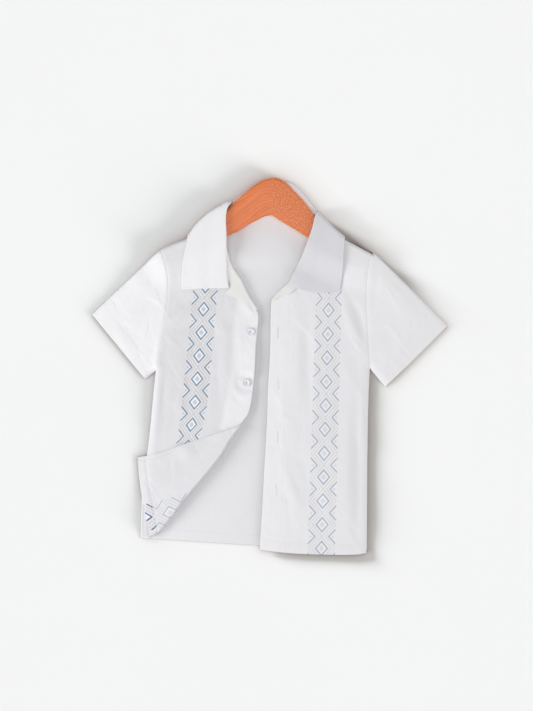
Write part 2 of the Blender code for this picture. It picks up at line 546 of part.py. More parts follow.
def make_collar(material):
    """Sections from the neck seam up the band, round the roll, and out along the leaf."""
    table = collar_sections()
    seam, roll, tilt, radius, edge = table[:, :2], table[:, 2:4], np.radians(table[:, 4]), table[:, 5], table[:, 6:]
    out = edge - roll
    reach = np.linalg.norm(out, axis=1)
    out /= reach[:, None]
    on_front = ease((tilt - math.radians(100)) / math.radians(60))
    over_lapel = STAND_ABOVE * ease((LAPEL_FROM - seam[:, 1]) / (LAPEL_FROM - LAPEL_TO)) * (seam[:, 0] < 0)
    low, high = back_mid(seam[:, 1]), front_height(seam) + over_lapel
    seam_z = low + (high - low) * ease((tilt - math.radians(75)) / math.radians(35))
    beside_roll = leaf_surface(roll + out * (radius + 1)[:, None])[:, 2]
    crest = beside_roll + ROLL_PUFF * on_front + np.cos(tilt) * radius
    tip = np.stack([out[:, 0] * np.cos(tilt), out[:, 1] * np.cos(tilt), np.sin(tilt)], axis=1)
    side = np.stack([out[:, 0] * np.sin(tilt), out[:, 1] * np.sin(tilt), -np.cos(tilt)], axis=1)
    centre = with_height(roll - tip[:, :2] * radius[:, None], crest)
    columns = [with_height(seam, seam_z)]
    start = centre - side * radius[:, None]
    columns.append((columns[0] + start) / 2)
    for angle in np.radians([-90, -45, 0, 45, 90]):
        columns.append(centre + radius[:, None] * (tip * math.cos(angle) + side * math.sin(angle)))
    rise = columns[-1][:, 2] - beside_roll
    steps = np.array([leaf_steps(r, o, 2.2 * w, far) for r, o, w, far in zip(roll, out, radius, reach)])
    plan = roll[:, None] + out[:, None] * steps[..., None]
    from_end = lengths(roll)[-1] - lengths(roll)
    dip = np.interp(steps / reach[:, None], *zip(*LEFT_END_DIP))
    plan[..., 1] -= dip * (1 - ease(from_end / DIP_FADE))[:, None]
    leaf = leaf_surface(plan, (rise * on_front)[:, None] * (1 - ease(2.2 * steps / reach[:, None])))
    points = np.concatenate([np.stack(columns, axis=1), leaf], axis=1)
    points[..., 2] = np.maximum(points[..., 2], FLOOR_MID)
    from_wood = np.interp(np.arange(points.shape[1]), [3, 6], [STAND_FROM_WOOD, LEAF_FROM_WOOD])
    return cloth("collar", clear_of_wood(points, from_wood), material)


def make_facing(name, roll_line, outer_line, material):
    """A lapel: the facing comes from under the front, rolls round its edge and lies on it, right side up."""
    share = np.linspace(0, 1, FACING_ROWS)
    edge = along(smooth_line(roll_line), share)
    outer = along(smooth_line(outer_line), share)
    way = outer - edge
    width = np.linalg.norm(way, axis=1)
    way = way / width[:, None]
    radius = FACING_RADIUS
    base = front_height(edge + way * FACING_UNDER / 2)
    columns = [with_height(edge + way * d, base - radius) for d in (FACING_UNDER, radius)]
    for angle in np.radians([-45, 0, 45, 90]):
        columns.append(with_height(edge + way * (radius - radius * math.cos(angle)), base + radius * math.sin(angle)))
    for part in np.linspace(0, 1, 6)[1:]:
        spot = edge + way * (radius + np.maximum(width - radius, 0.8) * part)[:, None]
        columns.append(with_height(spot, front_height(spot) + LAYER + (radius - LAYER) * (1 - part) + 0.1))
    return cloth(name, np.stack(columns, axis=1), material)


def hanger_arm(name, arm, material):
    """A flat bar lofted through rounded sections, its upper and lower edges as the table gives them."""
    bm = bmesh.new()
    turns = np.radians([12, 45, 78, 102, 135, 168, 192, 225, 258, 282, 315, 348])
    rings = []
    for top_x, top_y, low_x, low_y in smooth_line([tuple(row) for row in arm], per_span=2):
        middle = np.array([top_x + low_x, top_y + low_y]) / 2
        way = np.array([top_x - low_x, top_y - low_y]) / 2
        half = np.linalg.norm(way)
        way /= half
        thick = HANGER_THICK / 2 * min(1.0, math.sqrt(half / 6.5))
        corner = 0.75 * min(thick, half)
        across = np.copysign(half - corner, np.cos(turns)) + corner * np.cos(turns)
        up = np.copysign(thick - corner, np.sin(turns)) + corner * np.sin(turns)
        spots = with_height(middle + way * across[:, None], HANGER_MID + up)
        rings.append([bm.verts.new(spot * MM) for spot in spots])
    for near, far in zip(rings[:-1], rings[1:]):
        for k in range(len(turns)):
            n = (k + 1) % len(turns)
            bm.faces.new((near[k], near[n], far[n], far[k]))
    bm.faces.new(rings[0])
    bm.faces.new(rings[-1])
    bmesh.ops.recalc_face_normals(bm, faces=bm.faces)
    obj = add_mesh(name, bm, material)
    obj.data.shade_smooth()
    return obj


def make_button(name, x, y, above, material):
    """A four-hole shirt button: a turned disc with a raised rim, pierced for its thread, parallel to the cloth."""
    spot = np.array([x, y], float)
    normal = front_normal(spot)
    bm = bmesh.new()
    verts = [bm.verts.new((r * MM, 0, h * MM)) for r, h in BUTTON_PROFILE]
    for a, b in zip(verts[:-1], verts[1:]):
        bm.edges.new((a, b))
    bmesh.ops.spin(bm, geom=bm.verts[:] + bm.edges[:], axis=(0, 0, 1), cent=(0, 0, 0), dvec=(0, 0, 0),
                   angle=2 * math.pi, steps=16, use_merge=True)
    bmesh.ops.remove_doubles(bm, verts=bm.verts, dist=0.00001)
    bmesh.ops.recalc_face_normals(bm, faces=bm.faces)
    obj = add_mesh(name, bm, material)
    obj.data.shade_smooth()
    cutter_bm = bmesh.new()
    for angle in np.radians([45, 135, 225, 315]):
        made = bmesh.ops.create_cone(cutter_bm, cap_ends=True, segments=6, radius1=THREAD_HOLE_RADIUS * MM,
                                     radius2=THREAD_HOLE_RADIUS * MM, depth=6 * MM)
        way = Vector((math.cos(angle), math.sin(angle), 0)) * THREAD_HOLE_OFFSET * MM
        bmesh.ops.translate(cutter_bm, verts=made["verts"], vec=way)
    mesh = bpy.data.meshes.new(name + "_holes")
    cutter_bm.to_mesh(mesh)
    cutter_bm.free()
    cutter = bpy.data.objects.new(name + "_holes", mesh)
    CUTTERS.objects.link(cutter)
    cutter.hide_render = True
    cutter.display_type = "WIRE"
    holes = obj.modifiers.new("thread holes", "BOOLEAN")
    holes.operation = "DIFFERENCE"
    holes.object = cutter
    centre = Vector((x, y, float(front_height(spot)))) + Vector(normal) * above
    for piece in (obj, cutter):
        piece.location = centre * MM
        piece.rotation_mode = "QUATERNION"
        piece.rotation_quaternion = Vector((0, 0, 1)).rotation_difference(Vector(normal))
    return obj


for old in list(bpy.data.objects):
    bpy.data.objects.remove(old)
SHIRT = bpy.data.collections.new("guayabera_shirt")
CUTTERS = bpy.data.collections.new("cutters")
bpy.context.scene.collection.children.link(SHIRT)
bpy.context.scene.collection.children.link(CUTTERS)

white_cotton = new_material("white_cotton", (0.80, 0.79, 0.82), 0.85)
wood = new_material("hanger_wood", (0.75, 0.26, 0.10), 0.45)
button_white = new_material("button_white", (0.78, 0.77, 0.82), 0.3)

make_back(white_cotton)
make_front_right(white_cotton)
make_front_left(white_cotton)
make_sleeve("sleeve_right", RIGHT_ARMHOLE, RIGHT_CUFF, FOLD_LINES[0][5 * 8:], [(-156, -7), (-170, -17)], -1,
            white_cotton)
make_sleeve("sleeve_left", LEFT_ARMHOLE, LEFT_CUFF, FOLD_LINES[2][4 * 8:], [(136, -3), (157, -27)], 1,
            white_cotton)
make_collar(white_cotton)
make_facing("facing_right", RIGHT_LAPEL_ROLL, RIGHT_LAPEL_EDGE, white_cotton)
make_facing("facing_left", LEFT_LAPEL_ROLL, LEFT_LAPEL_EDGE, white_cotton)
for number, (button_x, button_y, button_above) in enumerate(BUTTONS, start=1):
    make_button(f"button_{number}", button_x, button_y, button_above, button_white)
hanger_arm("hanger_right", RIGHT_ARM, wood)
hanger_arm("hanger_left", LEFT_ARM, wood)
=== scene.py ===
# %% [markdown]
# # A child's guayabera shirt on a wooden hanger
# The shirt lies flat on its back with one front open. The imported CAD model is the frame: its solids say where each
# panel lies. Here each solid of cloth gets a finer skin on the same form, with its creases, its weave and its woven
# bands. The hanger and the buttons get their wood and their plastic. All working sizes are in millimetres.

# %% Load the frame
import math
from collections import namedtuple

import bmesh
import bpy
import numpy as np
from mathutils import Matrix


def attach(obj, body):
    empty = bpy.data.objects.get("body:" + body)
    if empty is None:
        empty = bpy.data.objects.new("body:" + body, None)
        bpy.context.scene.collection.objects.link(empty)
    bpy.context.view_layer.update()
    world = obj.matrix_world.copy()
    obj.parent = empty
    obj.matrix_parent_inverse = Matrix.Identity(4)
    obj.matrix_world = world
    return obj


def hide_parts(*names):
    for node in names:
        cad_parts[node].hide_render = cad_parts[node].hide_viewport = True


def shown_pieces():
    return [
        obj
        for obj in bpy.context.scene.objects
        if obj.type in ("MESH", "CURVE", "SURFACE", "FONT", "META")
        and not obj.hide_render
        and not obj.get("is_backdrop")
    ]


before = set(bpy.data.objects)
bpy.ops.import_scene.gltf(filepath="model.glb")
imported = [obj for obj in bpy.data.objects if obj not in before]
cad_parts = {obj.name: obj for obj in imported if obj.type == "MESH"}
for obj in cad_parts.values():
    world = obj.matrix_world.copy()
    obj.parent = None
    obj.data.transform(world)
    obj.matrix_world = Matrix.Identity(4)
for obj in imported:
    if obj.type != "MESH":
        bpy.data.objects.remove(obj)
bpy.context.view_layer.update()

MM = 0.001
print("frame:", sorted(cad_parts))

# %% [markdown]
# ## Sizes of the cloth and of the lie
# A shirt that lies on a table is a stack of thin layers. The back rests on the surface, the fronts lie a few
# millimetres above it, and everything climbs over the hanger near the neck. These heights are those of the solids.
# The skin is thinner than the solids' wall, because real shirt cotton is well under a millimetre thick.

# %% Heights and layers
CLOTH, SEAM, SHELL, CLEAR_OF_WOOD = 1.2, 0.3, 0.7, 0.8
LAYER = CLOTH + SEAM
FLOOR_MID = CLOTH / 2
FALL_START, FALL_FULL = 128.0, 150.0
HANGER_THICK = 12.0
HANGER_LOW = FLOOR_MID + LAYER + CLOTH / 2 + SEAM
HANGER_MID = HANGER_LOW + HANGER_THICK / 2
OVER_HANGER = HANGER_LOW + HANGER_THICK + CLOTH / 2 + CLEAR_OF_WOOD
BODY_HEIGHT, HEM_HEIGHT, CUFF_HEIGHT = 5.4, 4.4, 4.6
SHOULDER_ROLL, RIGHT_SIDE_ROLL, LEFT_SIDE_ROLL = 4.0, 11.0, 12.0
DRAPE_LENGTH = 44.0
HEM_FALL_FROM, HEM_FALL_OVER = -190.0, 60.0
CUFF_FALL_FROM, CUFF_FALL_OVER = 150.0, 90.0
LOWER_SHIFT, SIDE_SHIFT, BACK_SHIFT = 1.2, 1.0, 0.3
RIM_CLEAR = SEAM + 0.15
SHOULDER_BOW_LENGTH = 70.0
ROLLED_SHARE, ARMHOLE_ROLLED_SHARE = 0.073, 0.056
print("layer", LAYER, "mm, cloth over the hanger", round(OVER_HANGER, 1), "mm")

# %% [markdown]
# ## Plan lines
# A pattern cutter draws a garment as a few lines. Each list is one line of the shirt seen from above: the shoulder
# and sleeve fold, the armhole, the side, the cuff, the front edge, the fold of the turned corner. Smooth curves
# through these few points carry all the grids below, so neighbouring pieces meet at their seams.

# %% Plan lines
RIGHT_TOP = [(-64, 217), (-80, 203), (-97, 188), (-112, 175), (-124, 170), (-150, 158), (-177, 133), (-242, 71)]
RIGHT_ARMHOLE = [(-150, 158), (-146, 152), (-140, 129), (-139, 111), (-141, 85), (-145, 56), (-150, 27), (-156, -7)]
RIGHT_SIDE = [(-156, -7), (-159, -34), (-163, -78), (-168, -121), (-175, -177), (-177, -233)]
RIGHT_CUFF = [(-242, 71), (-206, 27), (-170, -17)]
RIGHT_CENTRE = [(-64, 217), (-65, 204), (-65, 186), (-64, 172), (-55.5, 139), (-41, 118), (-31, 98), (-18, 77),
                (-15.5, 68), (-17, 50), (-19, 28), (-21, -16), (-23, -41), (-25, -56), (-30, -69), (-40, -80)]
RIGHT_FOLD = [(-40, -80), (-55, -101), (-68, -122), (-83, -141), (-99, -160), (-116, -180), (-129, -197),
              (-141, -213), (-153, -226), (-163, -233)]
FLAP_TOP = [(-40, -80), (-53, -84), (-98, -99), (-124, -108), (-153, -118), (-181, -124)]
FLAP_HEM = [(-163, -233), (-173, -183), (-177, -161), (-181, -124)]
LEFT_TOP = [(66, 206), (83, 189), (99, 174.5), (120, 163), (137, 154), (150, 147), (242, 56)]
LEFT_ARMHOLE = [(137, 154), (133, 129), (132, 111), (132, 85), (133, 56), (135, 20), (136, -3)]
LEFT_SIDE = [(136, -3), (135, -30), (134, -60), (133, -125), (132, -254)]
LEFT_CUFF = [(242, 56), (200, 14), (157, -27)]
LEFT_CENTRE = [(66, 206), (62, 188), (57, 172), (54, 161), (45, 138), (39, 128), (29, 114), (16, 103), (8, 95),
               (2, 89), (1, 71), (0, 20), (-3, -34), (-4, -74), (-8, -143), (-12, -216), (-14, -249)]
LEFT_HEM = [(-14, -249), (27, -254), (79, -256), (115, -256), (132, -254)]
BACK_NECK = [(-64, 217), (-52, 211), (-27, 208.5), (3, 208), (34, 208), (54, 207), (66, 206)]
BACK_HEM = [(-177, -234), (-14, -244), (132, -249)]
COLLAR_OUTLINE = [(-151, 161), (-125, 173), (-114, 178), (-108, 183.5), (-101, 193), (-92, 202), (-81, 211),
                  (-67, 219), (-56, 225), (-46, 229), (-33, 236), (-16, 244), (3, 249), (19, 251.5), (30, 250),
                  (41, 241), (52, 228.5), (65, 210.8), (83, 193), (99, 178.8), (120, 166.8), (137, 157.5)]
RIGHT_LAPEL_ROLL = [(-60, 170), (-58.5, 158), (-53.4, 141), (-46, 128), (-39, 118), (-34, 107), (-29, 97), (-22, 86),
                    (-16, 77)]
RIGHT_LAPEL_EDGE = [(-63, 170), (-62.5, 156), (-61, 140), (-60, 130), (-58, 120), (-54.5, 112), (-54.5, 106.5),
                    (-58.5, 103), (-59.5, 98), (-48, 94), (-38, 90), (-30, 85), (-20.5, 77.5)]
LEFT_LAPEL_ROLL = [(34, 124.5), (27, 116), (21.5, 110.5), (16, 106), (8, 98), (2, 91)]
LEFT_LAPEL_EDGE = [(42, 119), (38, 110), (31, 102.5), (25.5, 98), (13, 95), (6, 89)]

# %% Hanger arms and collar sections
Arm = namedtuple("Arm", "top_x top_y low_x low_y")
Station = namedtuple("Station", "seam_x seam_y roll_x roll_y tilt radius edge_x edge_y")
RIGHT_ARM = [Arm(*row) for row in (
    (2.95, 256.4, 0.95, 206), (-10, 253, -6, 204.5), (-22, 246, -13, 201), (-34, 236, -21, 197),
    (-44, 227.5, -30, 192), (-55, 216.5, -41, 185), (-65, 207.5, -53, 179.5), (-81, 196, -71, 171),
    (-97, 182.5, -88, 161), (-112, 170, -105, 153), (-127, 160.5, -123, 146.5), (-136, 155.5, -134, 144.5),
    (-139, 152, -138, 147),
)]
LEFT_ARM = [Arm(*row) for row in (
    (2.95, 256.4, 0.95, 206), (13, 255, 7, 202.5), (24, 248, 14, 198), (34, 237.5, 22, 193), (46, 225, 33, 186.5),
    (56.7, 210.7, 46, 178.5), (64.5, 201, 56, 172.5), (79, 186.7, 72, 163), (95, 173, 88, 153.5),
    (108, 163, 102, 146.5), (119, 155, 116, 141.5), (126, 150.5, 124, 140), (129, 147.5, 128, 142.5),
)]
COLLAR = [Station(*row) for row in (
    (-64, 107, -56, 107, 180, 1.8, -120, 105), (-64, 118, -57.5, 118, 180, 1.9, -120, 116),
    (-64, 134, -59, 134, 180, 2.0, -119, 132), (-64, 154, -59.5, 154, 180, 2.0, -117, 151),
    (-64, 172, -59, 172, 178, 2.0, -113, 166), (-63.8, 187, -59.5, 187, 174, 2.0, -111, 180),
    (-63.9, 200, -60, 200, 165, 1.9, -108, 196), (-63.5, 210, -59, 211, 145, 1.9, -98, 212),
    (-62.8, 217.4, -56.7, 218.6, 110, 1.7, -84, 228), (-57, 214, -52.5, 224.2, 70, 1.3, -68, 242),
    (-47.5, 210.9, -44.5, 228.6, 25, 0.95, -54, 256), (-35, 209.8, -33, 235, 3, 0.8, -40, 268),
    (-17, 208.9, -16, 243, 0, 0.75, -20, 280), (3, 208.6, 3, 248, 0, 0.75, 3, 286),
    (18, 208.6, 19, 250.6, 0, 0.75, 23, 289), (29, 208.6, 30, 249.2, 0, 0.75, 44, 284),
    (40, 208.5, 41, 240.2, 5, 0.8, 64, 270), (50.5, 207.9, 51, 228, 25, 0.95, 80, 254),
    (59.5, 207.2, 58.5, 217.5, 60, 1.2, 92, 240), (64.6, 207.9, 62.6, 209.2, 105, 1.5, 102, 224),
    (63, 199, 60.2, 199, 140, 1.9, 107, 206), (60.6, 187, 57, 187, 165, 1.9, 104, 188),
    (56.8, 175, 53, 175, 176, 2.0, 101, 172), (53, 162, 48.5, 163, 180, 2.0, 100, 158),
    (47.8, 147.8, 43.5, 150, 180, 2.0, 99.2, 144), (42.2, 135.2, 37.5, 137, 180, 2.0, 98.4, 131),
    (36.6, 127.2, 32.5, 127.5, 180, 1.9, 97.4, 117), (29.4, 117.8, 27.2, 116.5, 180, 1.8, 95.2, 103),
)]

# %% [markdown]
# ## Creases
# Cloth that has been put down by hand keeps a few soft folds. Simulation would give folds somewhere, but here they
# have to lie where the real ones lie, so each is given as a straight soft ridge or hollow that fades out
# towards both ends. The first ones are in the solids too. The others belong to the skin alone: most are smaller, and
# some are wide and low or lie on a large one to soften it.

# %% Folds of the upper layer
Fold = namedtuple("Fold", "x0 y0 x1 y1 half_width height")
FOLDS = [Fold(*row) for row in (
    (-151, 40, -160, -112, 5, 2.2), (-140, 32, -148, -104, 7, -2.2), (-142, 57, -104, 84, 7, 2.4),
    (-128, 46, -92, 58, 6, -1.2), (-62, 60, -58, -60, 8, 1.4), (-46, 40, -44, -46, 6, -1.0),
    (-95, 20, -100, -90, 9, 1.0), (98, 96, 130, 2, 8, 2.6), (112, 92, 128, 40, 7, -1.8), (36, 78, 38, -60, 8, 1.4),
    (51, 84, 52, -70, 7, -1.0), (12, -104, 44, -226, 9, 1.6), (34, -96, 66, -200, 8, -1.0),
    (118, -46, 120, -240, 6, -1.6), (104, -60, 107, -235, 7, 1.2), (-160, 112, -186, 20, 9, -1.2),
    (-178, 106, -204, 40, 9, 1.2), (150, 108, 168, 0, 9, -1.4), (168, 104, 190, 22, 9, 1.2),
)]
SMALL_FOLDS = [Fold(*row) for row in (
    (-134, 70, -108, 96, 3.5, -0.7), (-140, 44, -120, 20, 4, 0.5), (-72, 26, -70, -52, 4, -0.4),
    (-118, 30, -124, -84, 6, 0.5), (-80, 70, -84, 8, 6, 0.4), (18, 60, 16, -70, 4, 0.35), (62, 40, 64, -90, 5, 0.4),
    (88, 44, 108, -20, 5, 0.5), (60, -120, 84, -214, 7, 0.7), (22, -150, 30, -236, 5, -0.5),
    (90, -30, 92, -130, 6, -0.5), (124, -20, 125, -120, 3.5, 0.8), (78, -150, 80, -246, 6, 0.5),
    (-17, 62, -30, -74, 11, 2.4), (-60, 84, -40, 66, 7, 0.8), (-36, 84, -24, 70, 5, 0.8),
    (-104, 60, -112, -70, 12, -0.9), (14, -40, 40, -120, 8, 0.7), (-212, 60, -180, 12, 8, 0.6),
    (-141, 84, -152, -100, 17, 2.5), (-96, 88, -104, -30, 20, -1.6), (-42, 56, -46, -64, 15, 1.3),
    (92, -70, 95, -238, 20, 3.2), (52, 60, 56, -90, 16, -0.7), (108, 30, 112, -80, 9, 1.2),
    (-140, 32, -148, -104, 8, 1.9), (118, 192, 111, 114, 7, -1.8), (132, 132, 212, 56, 14, 2.1),
    (150, 108, 168, 0, 9, 1.3), (168, 104, 190, 22, 9, -1.1), (-178, 106, -204, 40, 9, -1.0),
    (-160, 112, -186, 20, 9, 1.0), (-170, 137, -182, 100, 17, 2.5), (147, 142, 143, 92, 5, -0.8),
    (180, 14, 168, -6, 8, 0.6), (-147, 22, -156, -108, 6, 1.0),
)]
# The cloth is nowhere quite level: length of a wave, its direction in degrees, its height and its phase
UNEVEN = [(61, 12, 0.12, 0.4), (83, 81, 0.16, 2.1), (47, 38, 0.06, 4.0), (97, 150, 0.20, 1.2), (38, 102, 0.03, 5.1),
          (70, 170, 0.10, 3.3)]
print(len(FOLDS), "large folds and", len(SMALL_FOLDS), "small ones")

# %% [markdown]
# ## Curves on the plan
# A few small helpers do the drawing: a smooth curve through points, a walk along it by shares of its length, a
# parallel line beside it, the distance of many points from it and straight rows between two lines. All of them work
# on whole arrays.

# %% Curve helpers
ROLL_STOPS = 10


def ease(t):
    """3 t squared less 2 t cubed: 0 to 1 with level ends."""
    t = np.clip(t, 0.0, 1.0)
    return t * t * (3 - 2 * t)


def smooth_line(points, per_span=8):
    """Catmull-Rom: on each span a cubic that leaves each point along the chord of its two neighbours."""
    p = np.array(points, float)
    p = np.vstack([2 * p[0] - p[1], p, 2 * p[-1] - p[-2]])
    t = np.linspace(0, 1, per_span, endpoint=False)[:, None]
    a, b, c, d = (p[k:len(p) - 3 + k, None, :] for k in range(4))
    spans = 0.5 * (2 * b + (c - a) * t + (2 * a - 5 * b + 4 * c - d) * t**2 + (3 * b - a - 3 * c + d) * t**3)
    return np.vstack([spans.reshape(-1, p.shape[1]), p[-2][None]])


def norm(vectors):
    """The length of each vector along the last axis."""
    return np.linalg.norm(vectors, axis=-1)


def lengths(line):
    """Sum of the steps from the line's start to each of its points."""
    return np.concatenate([[0], np.cumsum(norm(np.diff(line, axis=0)))])


def along(line, share):
    """The points at these shares of the line's whole length."""
    at = lengths(line)
    return np.stack([np.interp(np.asarray(share) * at[-1], at, line[:, k]) for k in range(line.shape[1])], axis=-1)


def inset(line, distance):
    """Each point moved by the distance along the left-hand normal of the line there."""
    line = np.asarray(line, float)
    way = np.gradient(line, axis=0)
    way /= norm(way)[:, None]
    return line + distance * np.stack([-way[:, 1], way[:, 0]], axis=1)


def nearest(points, line):
    """Smallest distance from each point to the line's segments, the foot there, and whether it is to the left."""
    points = np.asarray(points, float)
    shape = points.shape[:-1]
    flat = points.reshape(-1, 2)
    a, run = line[:-1], line[1:] - line[:-1]
    size = (run * run).sum(-1)
    dx, dy = flat[:, :1] - a[:, 0], flat[:, 1:] - a[:, 1]
    t = np.clip((dx * run[:, 0] + dy * run[:, 1]) / size, 0, 1)
    gap = np.hypot(dx - t * run[:, 0], dy - t * run[:, 1])
    best = gap.argmin(1)
    row = np.arange(len(flat))
    left = (run[best, 0] * dy[row, best] - run[best, 1] * dx[row, best]) > 0
    foot = a[best] + t[row, best][:, None] * run[best]
    return gap[row, best].reshape(shape), foot.reshape(shape + (2,)), left.reshape(shape)


def rounded(distance, radius):
    """A quarter of an ellipse: 0 at the edge, 1 from the radius on."""
    return np.sqrt(1 - (1 - np.clip(distance / radius, 0, 1)) ** 2)


def with_height(plan, height):
    return np.concatenate([plan, np.broadcast_to(height, plan.shape[:-1])[..., None]], axis=-1)


def circle(count):
    """Even angles round a whole turn."""
    return np.linspace(0, 2 * np.pi, count, endpoint=False)


def off_chord(line, share):
    """How far each point of the line lies from the straight way between its ends, at these shares of that way."""
    return line - (line[0] + (line[-1] - line[0]) * share[:, None])


def rows_between(left, right, stops):
    """Straight rows: the left end plus the stop times the way to the right end."""
    return left[:, None] + (right - left)[:, None] * stops[:, None]


def edge_stops(count, roll_share, both=False):
    """Shares across a row: a sine's close steps over the rolled edge, then even steps."""
    roll = roll_share * (1 - np.cos(np.linspace(0, np.pi / 2, ROLL_STOPS)))
    if not both:
        return np.concatenate([roll, np.linspace(roll_share, 1, count - ROLL_STOPS + 1)[1:]])
    inner = np.linspace(roll_share, 1 - roll_share, count - 2 * ROLL_STOPS + 2)[1:-1]
    return np.concatenate([roll, inner, 1 - roll[::-1]])


# %% [markdown]
# ## One height field for the whole shirt
# The upper layer of the fronts and sleeves is one surface: level over the body, rolled down at the garment's folded
# edges, lifted over the hanger, with the creases added. Since every piece reads its height from the same function,
# seams close by themselves and a crease runs on from one piece into the next.

# %% Height field
FOLD_ROLLS = [SHOULDER_ROLL, RIGHT_SIDE_ROLL, SHOULDER_ROLL, LEFT_SIDE_ROLL]
FOLD_LINES = [smooth_line(RIGHT_TOP), np.array([(-170, -17)] + RIGHT_SIDE, float),
              smooth_line(LEFT_TOP), np.array([(157, -27)] + LEFT_SIDE, float)]
RIGHT_SHOULDER, LEFT_SHOULDER = FOLD_LINES[0][:5 * 8 + 1], FOLD_LINES[2][:4 * 8 + 1]
RIGHT_ARM_SEAM, LEFT_ARM_SEAM = smooth_line(RIGHT_ARMHOLE), smooth_line(LEFT_ARMHOLE)
COLLAR_EDGE = smooth_line(COLLAR_OUTLINE)
RIGHT_FOLD_LINE = smooth_line(RIGHT_FOLD)
FOLD_LIFT, FOLD_SWELL, FOLD_SWELL_ENDS = 3.6, 24.0, 60.0
BUTTONS_ON_TOP = np.array([(-27, 47), (-33, -22)], float)
BUTTON_REST = 9.0
FOLD_PAST_END, FOLD_END_SPEED, WAVE_BEND = 0.2, 1.5, 1.6
SEAM_RIDGE, RIDGE_AT, RIDGE_WIDE = 0.16, 4.0, 3.0
SEAM_GROOVE, HEM_GROOVE, HEM_GROOVE_AT, GROOVE_WIDE = 0.38, 0.26, 0.6, 1.5
# Each pucker wave: its height, its length over a turn and its phase
HEM_RISE, PUCKER_REACH, PUCKERS = 0.22, 7.0, ((0.07, 2.3, 0.0), (0.08, 3.9, 1.3))


def back_mid(y):
    """Middle of the back: the floor, then one layer higher where the collar's fall lies under it."""
    return FLOOR_MID + LAYER * ease((y - FALL_START) / (FALL_FULL - FALL_START))


def beyond_hanger(points):
    """Distance from the arms' middle lines less the arms' half width there."""
    best = np.full(points.shape[:-1], np.inf)
    for arm in (RIGHT_ARM, LEFT_ARM):
        rows = np.array(arm, float)
        middle = (rows[:, :2] + rows[:, 2:]) / 2
        half = norm(rows[:, :2] - rows[:, 2:]) / 2
        for a, b, wide_a, wide_b in zip(middle[:-1], middle[1:], half[:-1], half[1:]):
            run = b - a
            t = np.clip(((points - a) * run).sum(-1) / (run @ run), 0, 1)
            gap = norm(points - a - t[..., None] * run)
            best = np.minimum(best, gap - wide_a - t * (wide_b - wide_a))
    return best


def fold_relief(points, folds):
    """Sum of height times exp(-(distance / half width) squared), eased out past both ends of each fold."""
    total = np.zeros(points.shape[:-1])
    for fold in folds:
        a, b = np.array([fold.x0, fold.y0]), np.array([fold.x1, fold.y1])
        run = b - a
        t = ((points - a) * run).sum(-1) / (run @ run)
        off = norm(points - a - np.clip(t, 0, 1)[..., None] * run)
        ends = ease(FOLD_END_SPEED * np.minimum(t + FOLD_PAST_END, 1 + FOLD_PAST_END - t))
        total += fold.height * np.exp(-(off / fold.half_width) ** 2) * ends
    return total


def unevenness(points):
    """Sum of long low sine waves that cross at different angles, each bent a little by the one before."""
    total, bend = np.zeros(points.shape[:-1]), 0.0
    for wave, degrees, size, phase in UNEVEN:
        a = math.radians(degrees)
        run = points[..., 0] * math.cos(a) + points[..., 1] * math.sin(a)
        value = np.sin(math.tau * run / wave + phase + WAVE_BEND * bend)
        total, bend = total + size * value, value
    return total


def clear_of_buttons(points):
    """1 away from the buttons that lie on top, 0 at them, so that no small fold tips one."""
    gap = np.min([norm(points - spot) for spot in BUTTONS_ON_TOP], axis=0)
    return ease((gap - BUTTON_REST) / BUTTON_REST)


def plateau(points):
    """Level height, plus the climb over the hanger (half a cosine), plus folds, plus the swell by the turned corner."""
    x, y = points[..., 0], points[..., 1]
    base = BODY_HEIGHT - (BODY_HEIGHT - HEM_HEIGHT) * ease((HEM_FALL_FROM - y) / HEM_FALL_OVER)
    base = base - (BODY_HEIGHT - CUFF_HEIGHT) * ease((np.abs(x) - CUFF_FALL_FROM) / CUFF_FALL_OVER)
    drape = 0.5 * (1 + np.cos(np.pi * np.clip((beyond_hanger(points) - 1) / DRAPE_LENGTH, 0, 1)))
    small = (fold_relief(points, SMALL_FOLDS) + unevenness(points)) * clear_of_buttons(points)
    relief = fold_relief(points, FOLDS) + small
    beside_fold = nearest(points, RIGHT_FOLD_LINE)[0]
    turned = FOLD_LIFT * np.exp(-(beside_fold / FOLD_SWELL) ** 2) * ease((y - RIGHT_FOLD[-1][1]) / FOLD_SWELL_ENDS)
    on_right = x < RIGHT_CENTRE[-3][0]
    return base + (OVER_HANGER - base) * drape + relief * (1 - drape) + turned * on_right


def seam_relief(points):
    """A narrow groove along each armhole seam, with the seam allowance's soft ridge on both sides of it."""
    gap = np.min([nearest(points, line)[0] for line in (RIGHT_ARM_SEAM, LEFT_ARM_SEAM)], axis=0)
    return SEAM_RIDGE * np.exp(-((gap - RIDGE_AT) / RIDGE_WIDE) ** 2) - SEAM_GROOVE * np.exp(-(gap / GROOVE_WIDE) ** 2)


def lift(points, low):
    """From low at the folded edges up to the plateau, by a quarter ellipse."""
    points = np.asarray(points, float)
    share = np.min([rounded(nearest(points, line)[0] - CLOTH / 2, roll) for line, roll in zip(FOLD_LINES, FOLD_ROLLS)],
                   axis=0)
    return low + (plateau(points) + seam_relief(points) - low) * share


def hem_relief(from_edge, beside, width):
    """The turned hem stands a little higher up to its width, with a groove at its stitches and uneven puckers (two
    sines of the place beside the hem, fading away from the stitches)."""
    turned = HEM_RISE * (1 - ease((from_edge - width + 1) / 2))
    groove = -HEM_GROOVE * np.exp(-((from_edge - width - HEM_GROOVE_AT) / GROOVE_WIDE) ** 2)
    waves = sum(high * np.sin(beside / wave + phase) for high, wave, phase in PUCKERS)
    return turned + groove + waves * np.exp(-((from_edge - width) / PUCKER_REACH) ** 2)


def front_height(points):
    """The fronts' middle, whose rim is just clear of the back."""
    return lift(points, back_mid(points[..., 1]) + CLOTH / 2 + RIM_CLEAR)


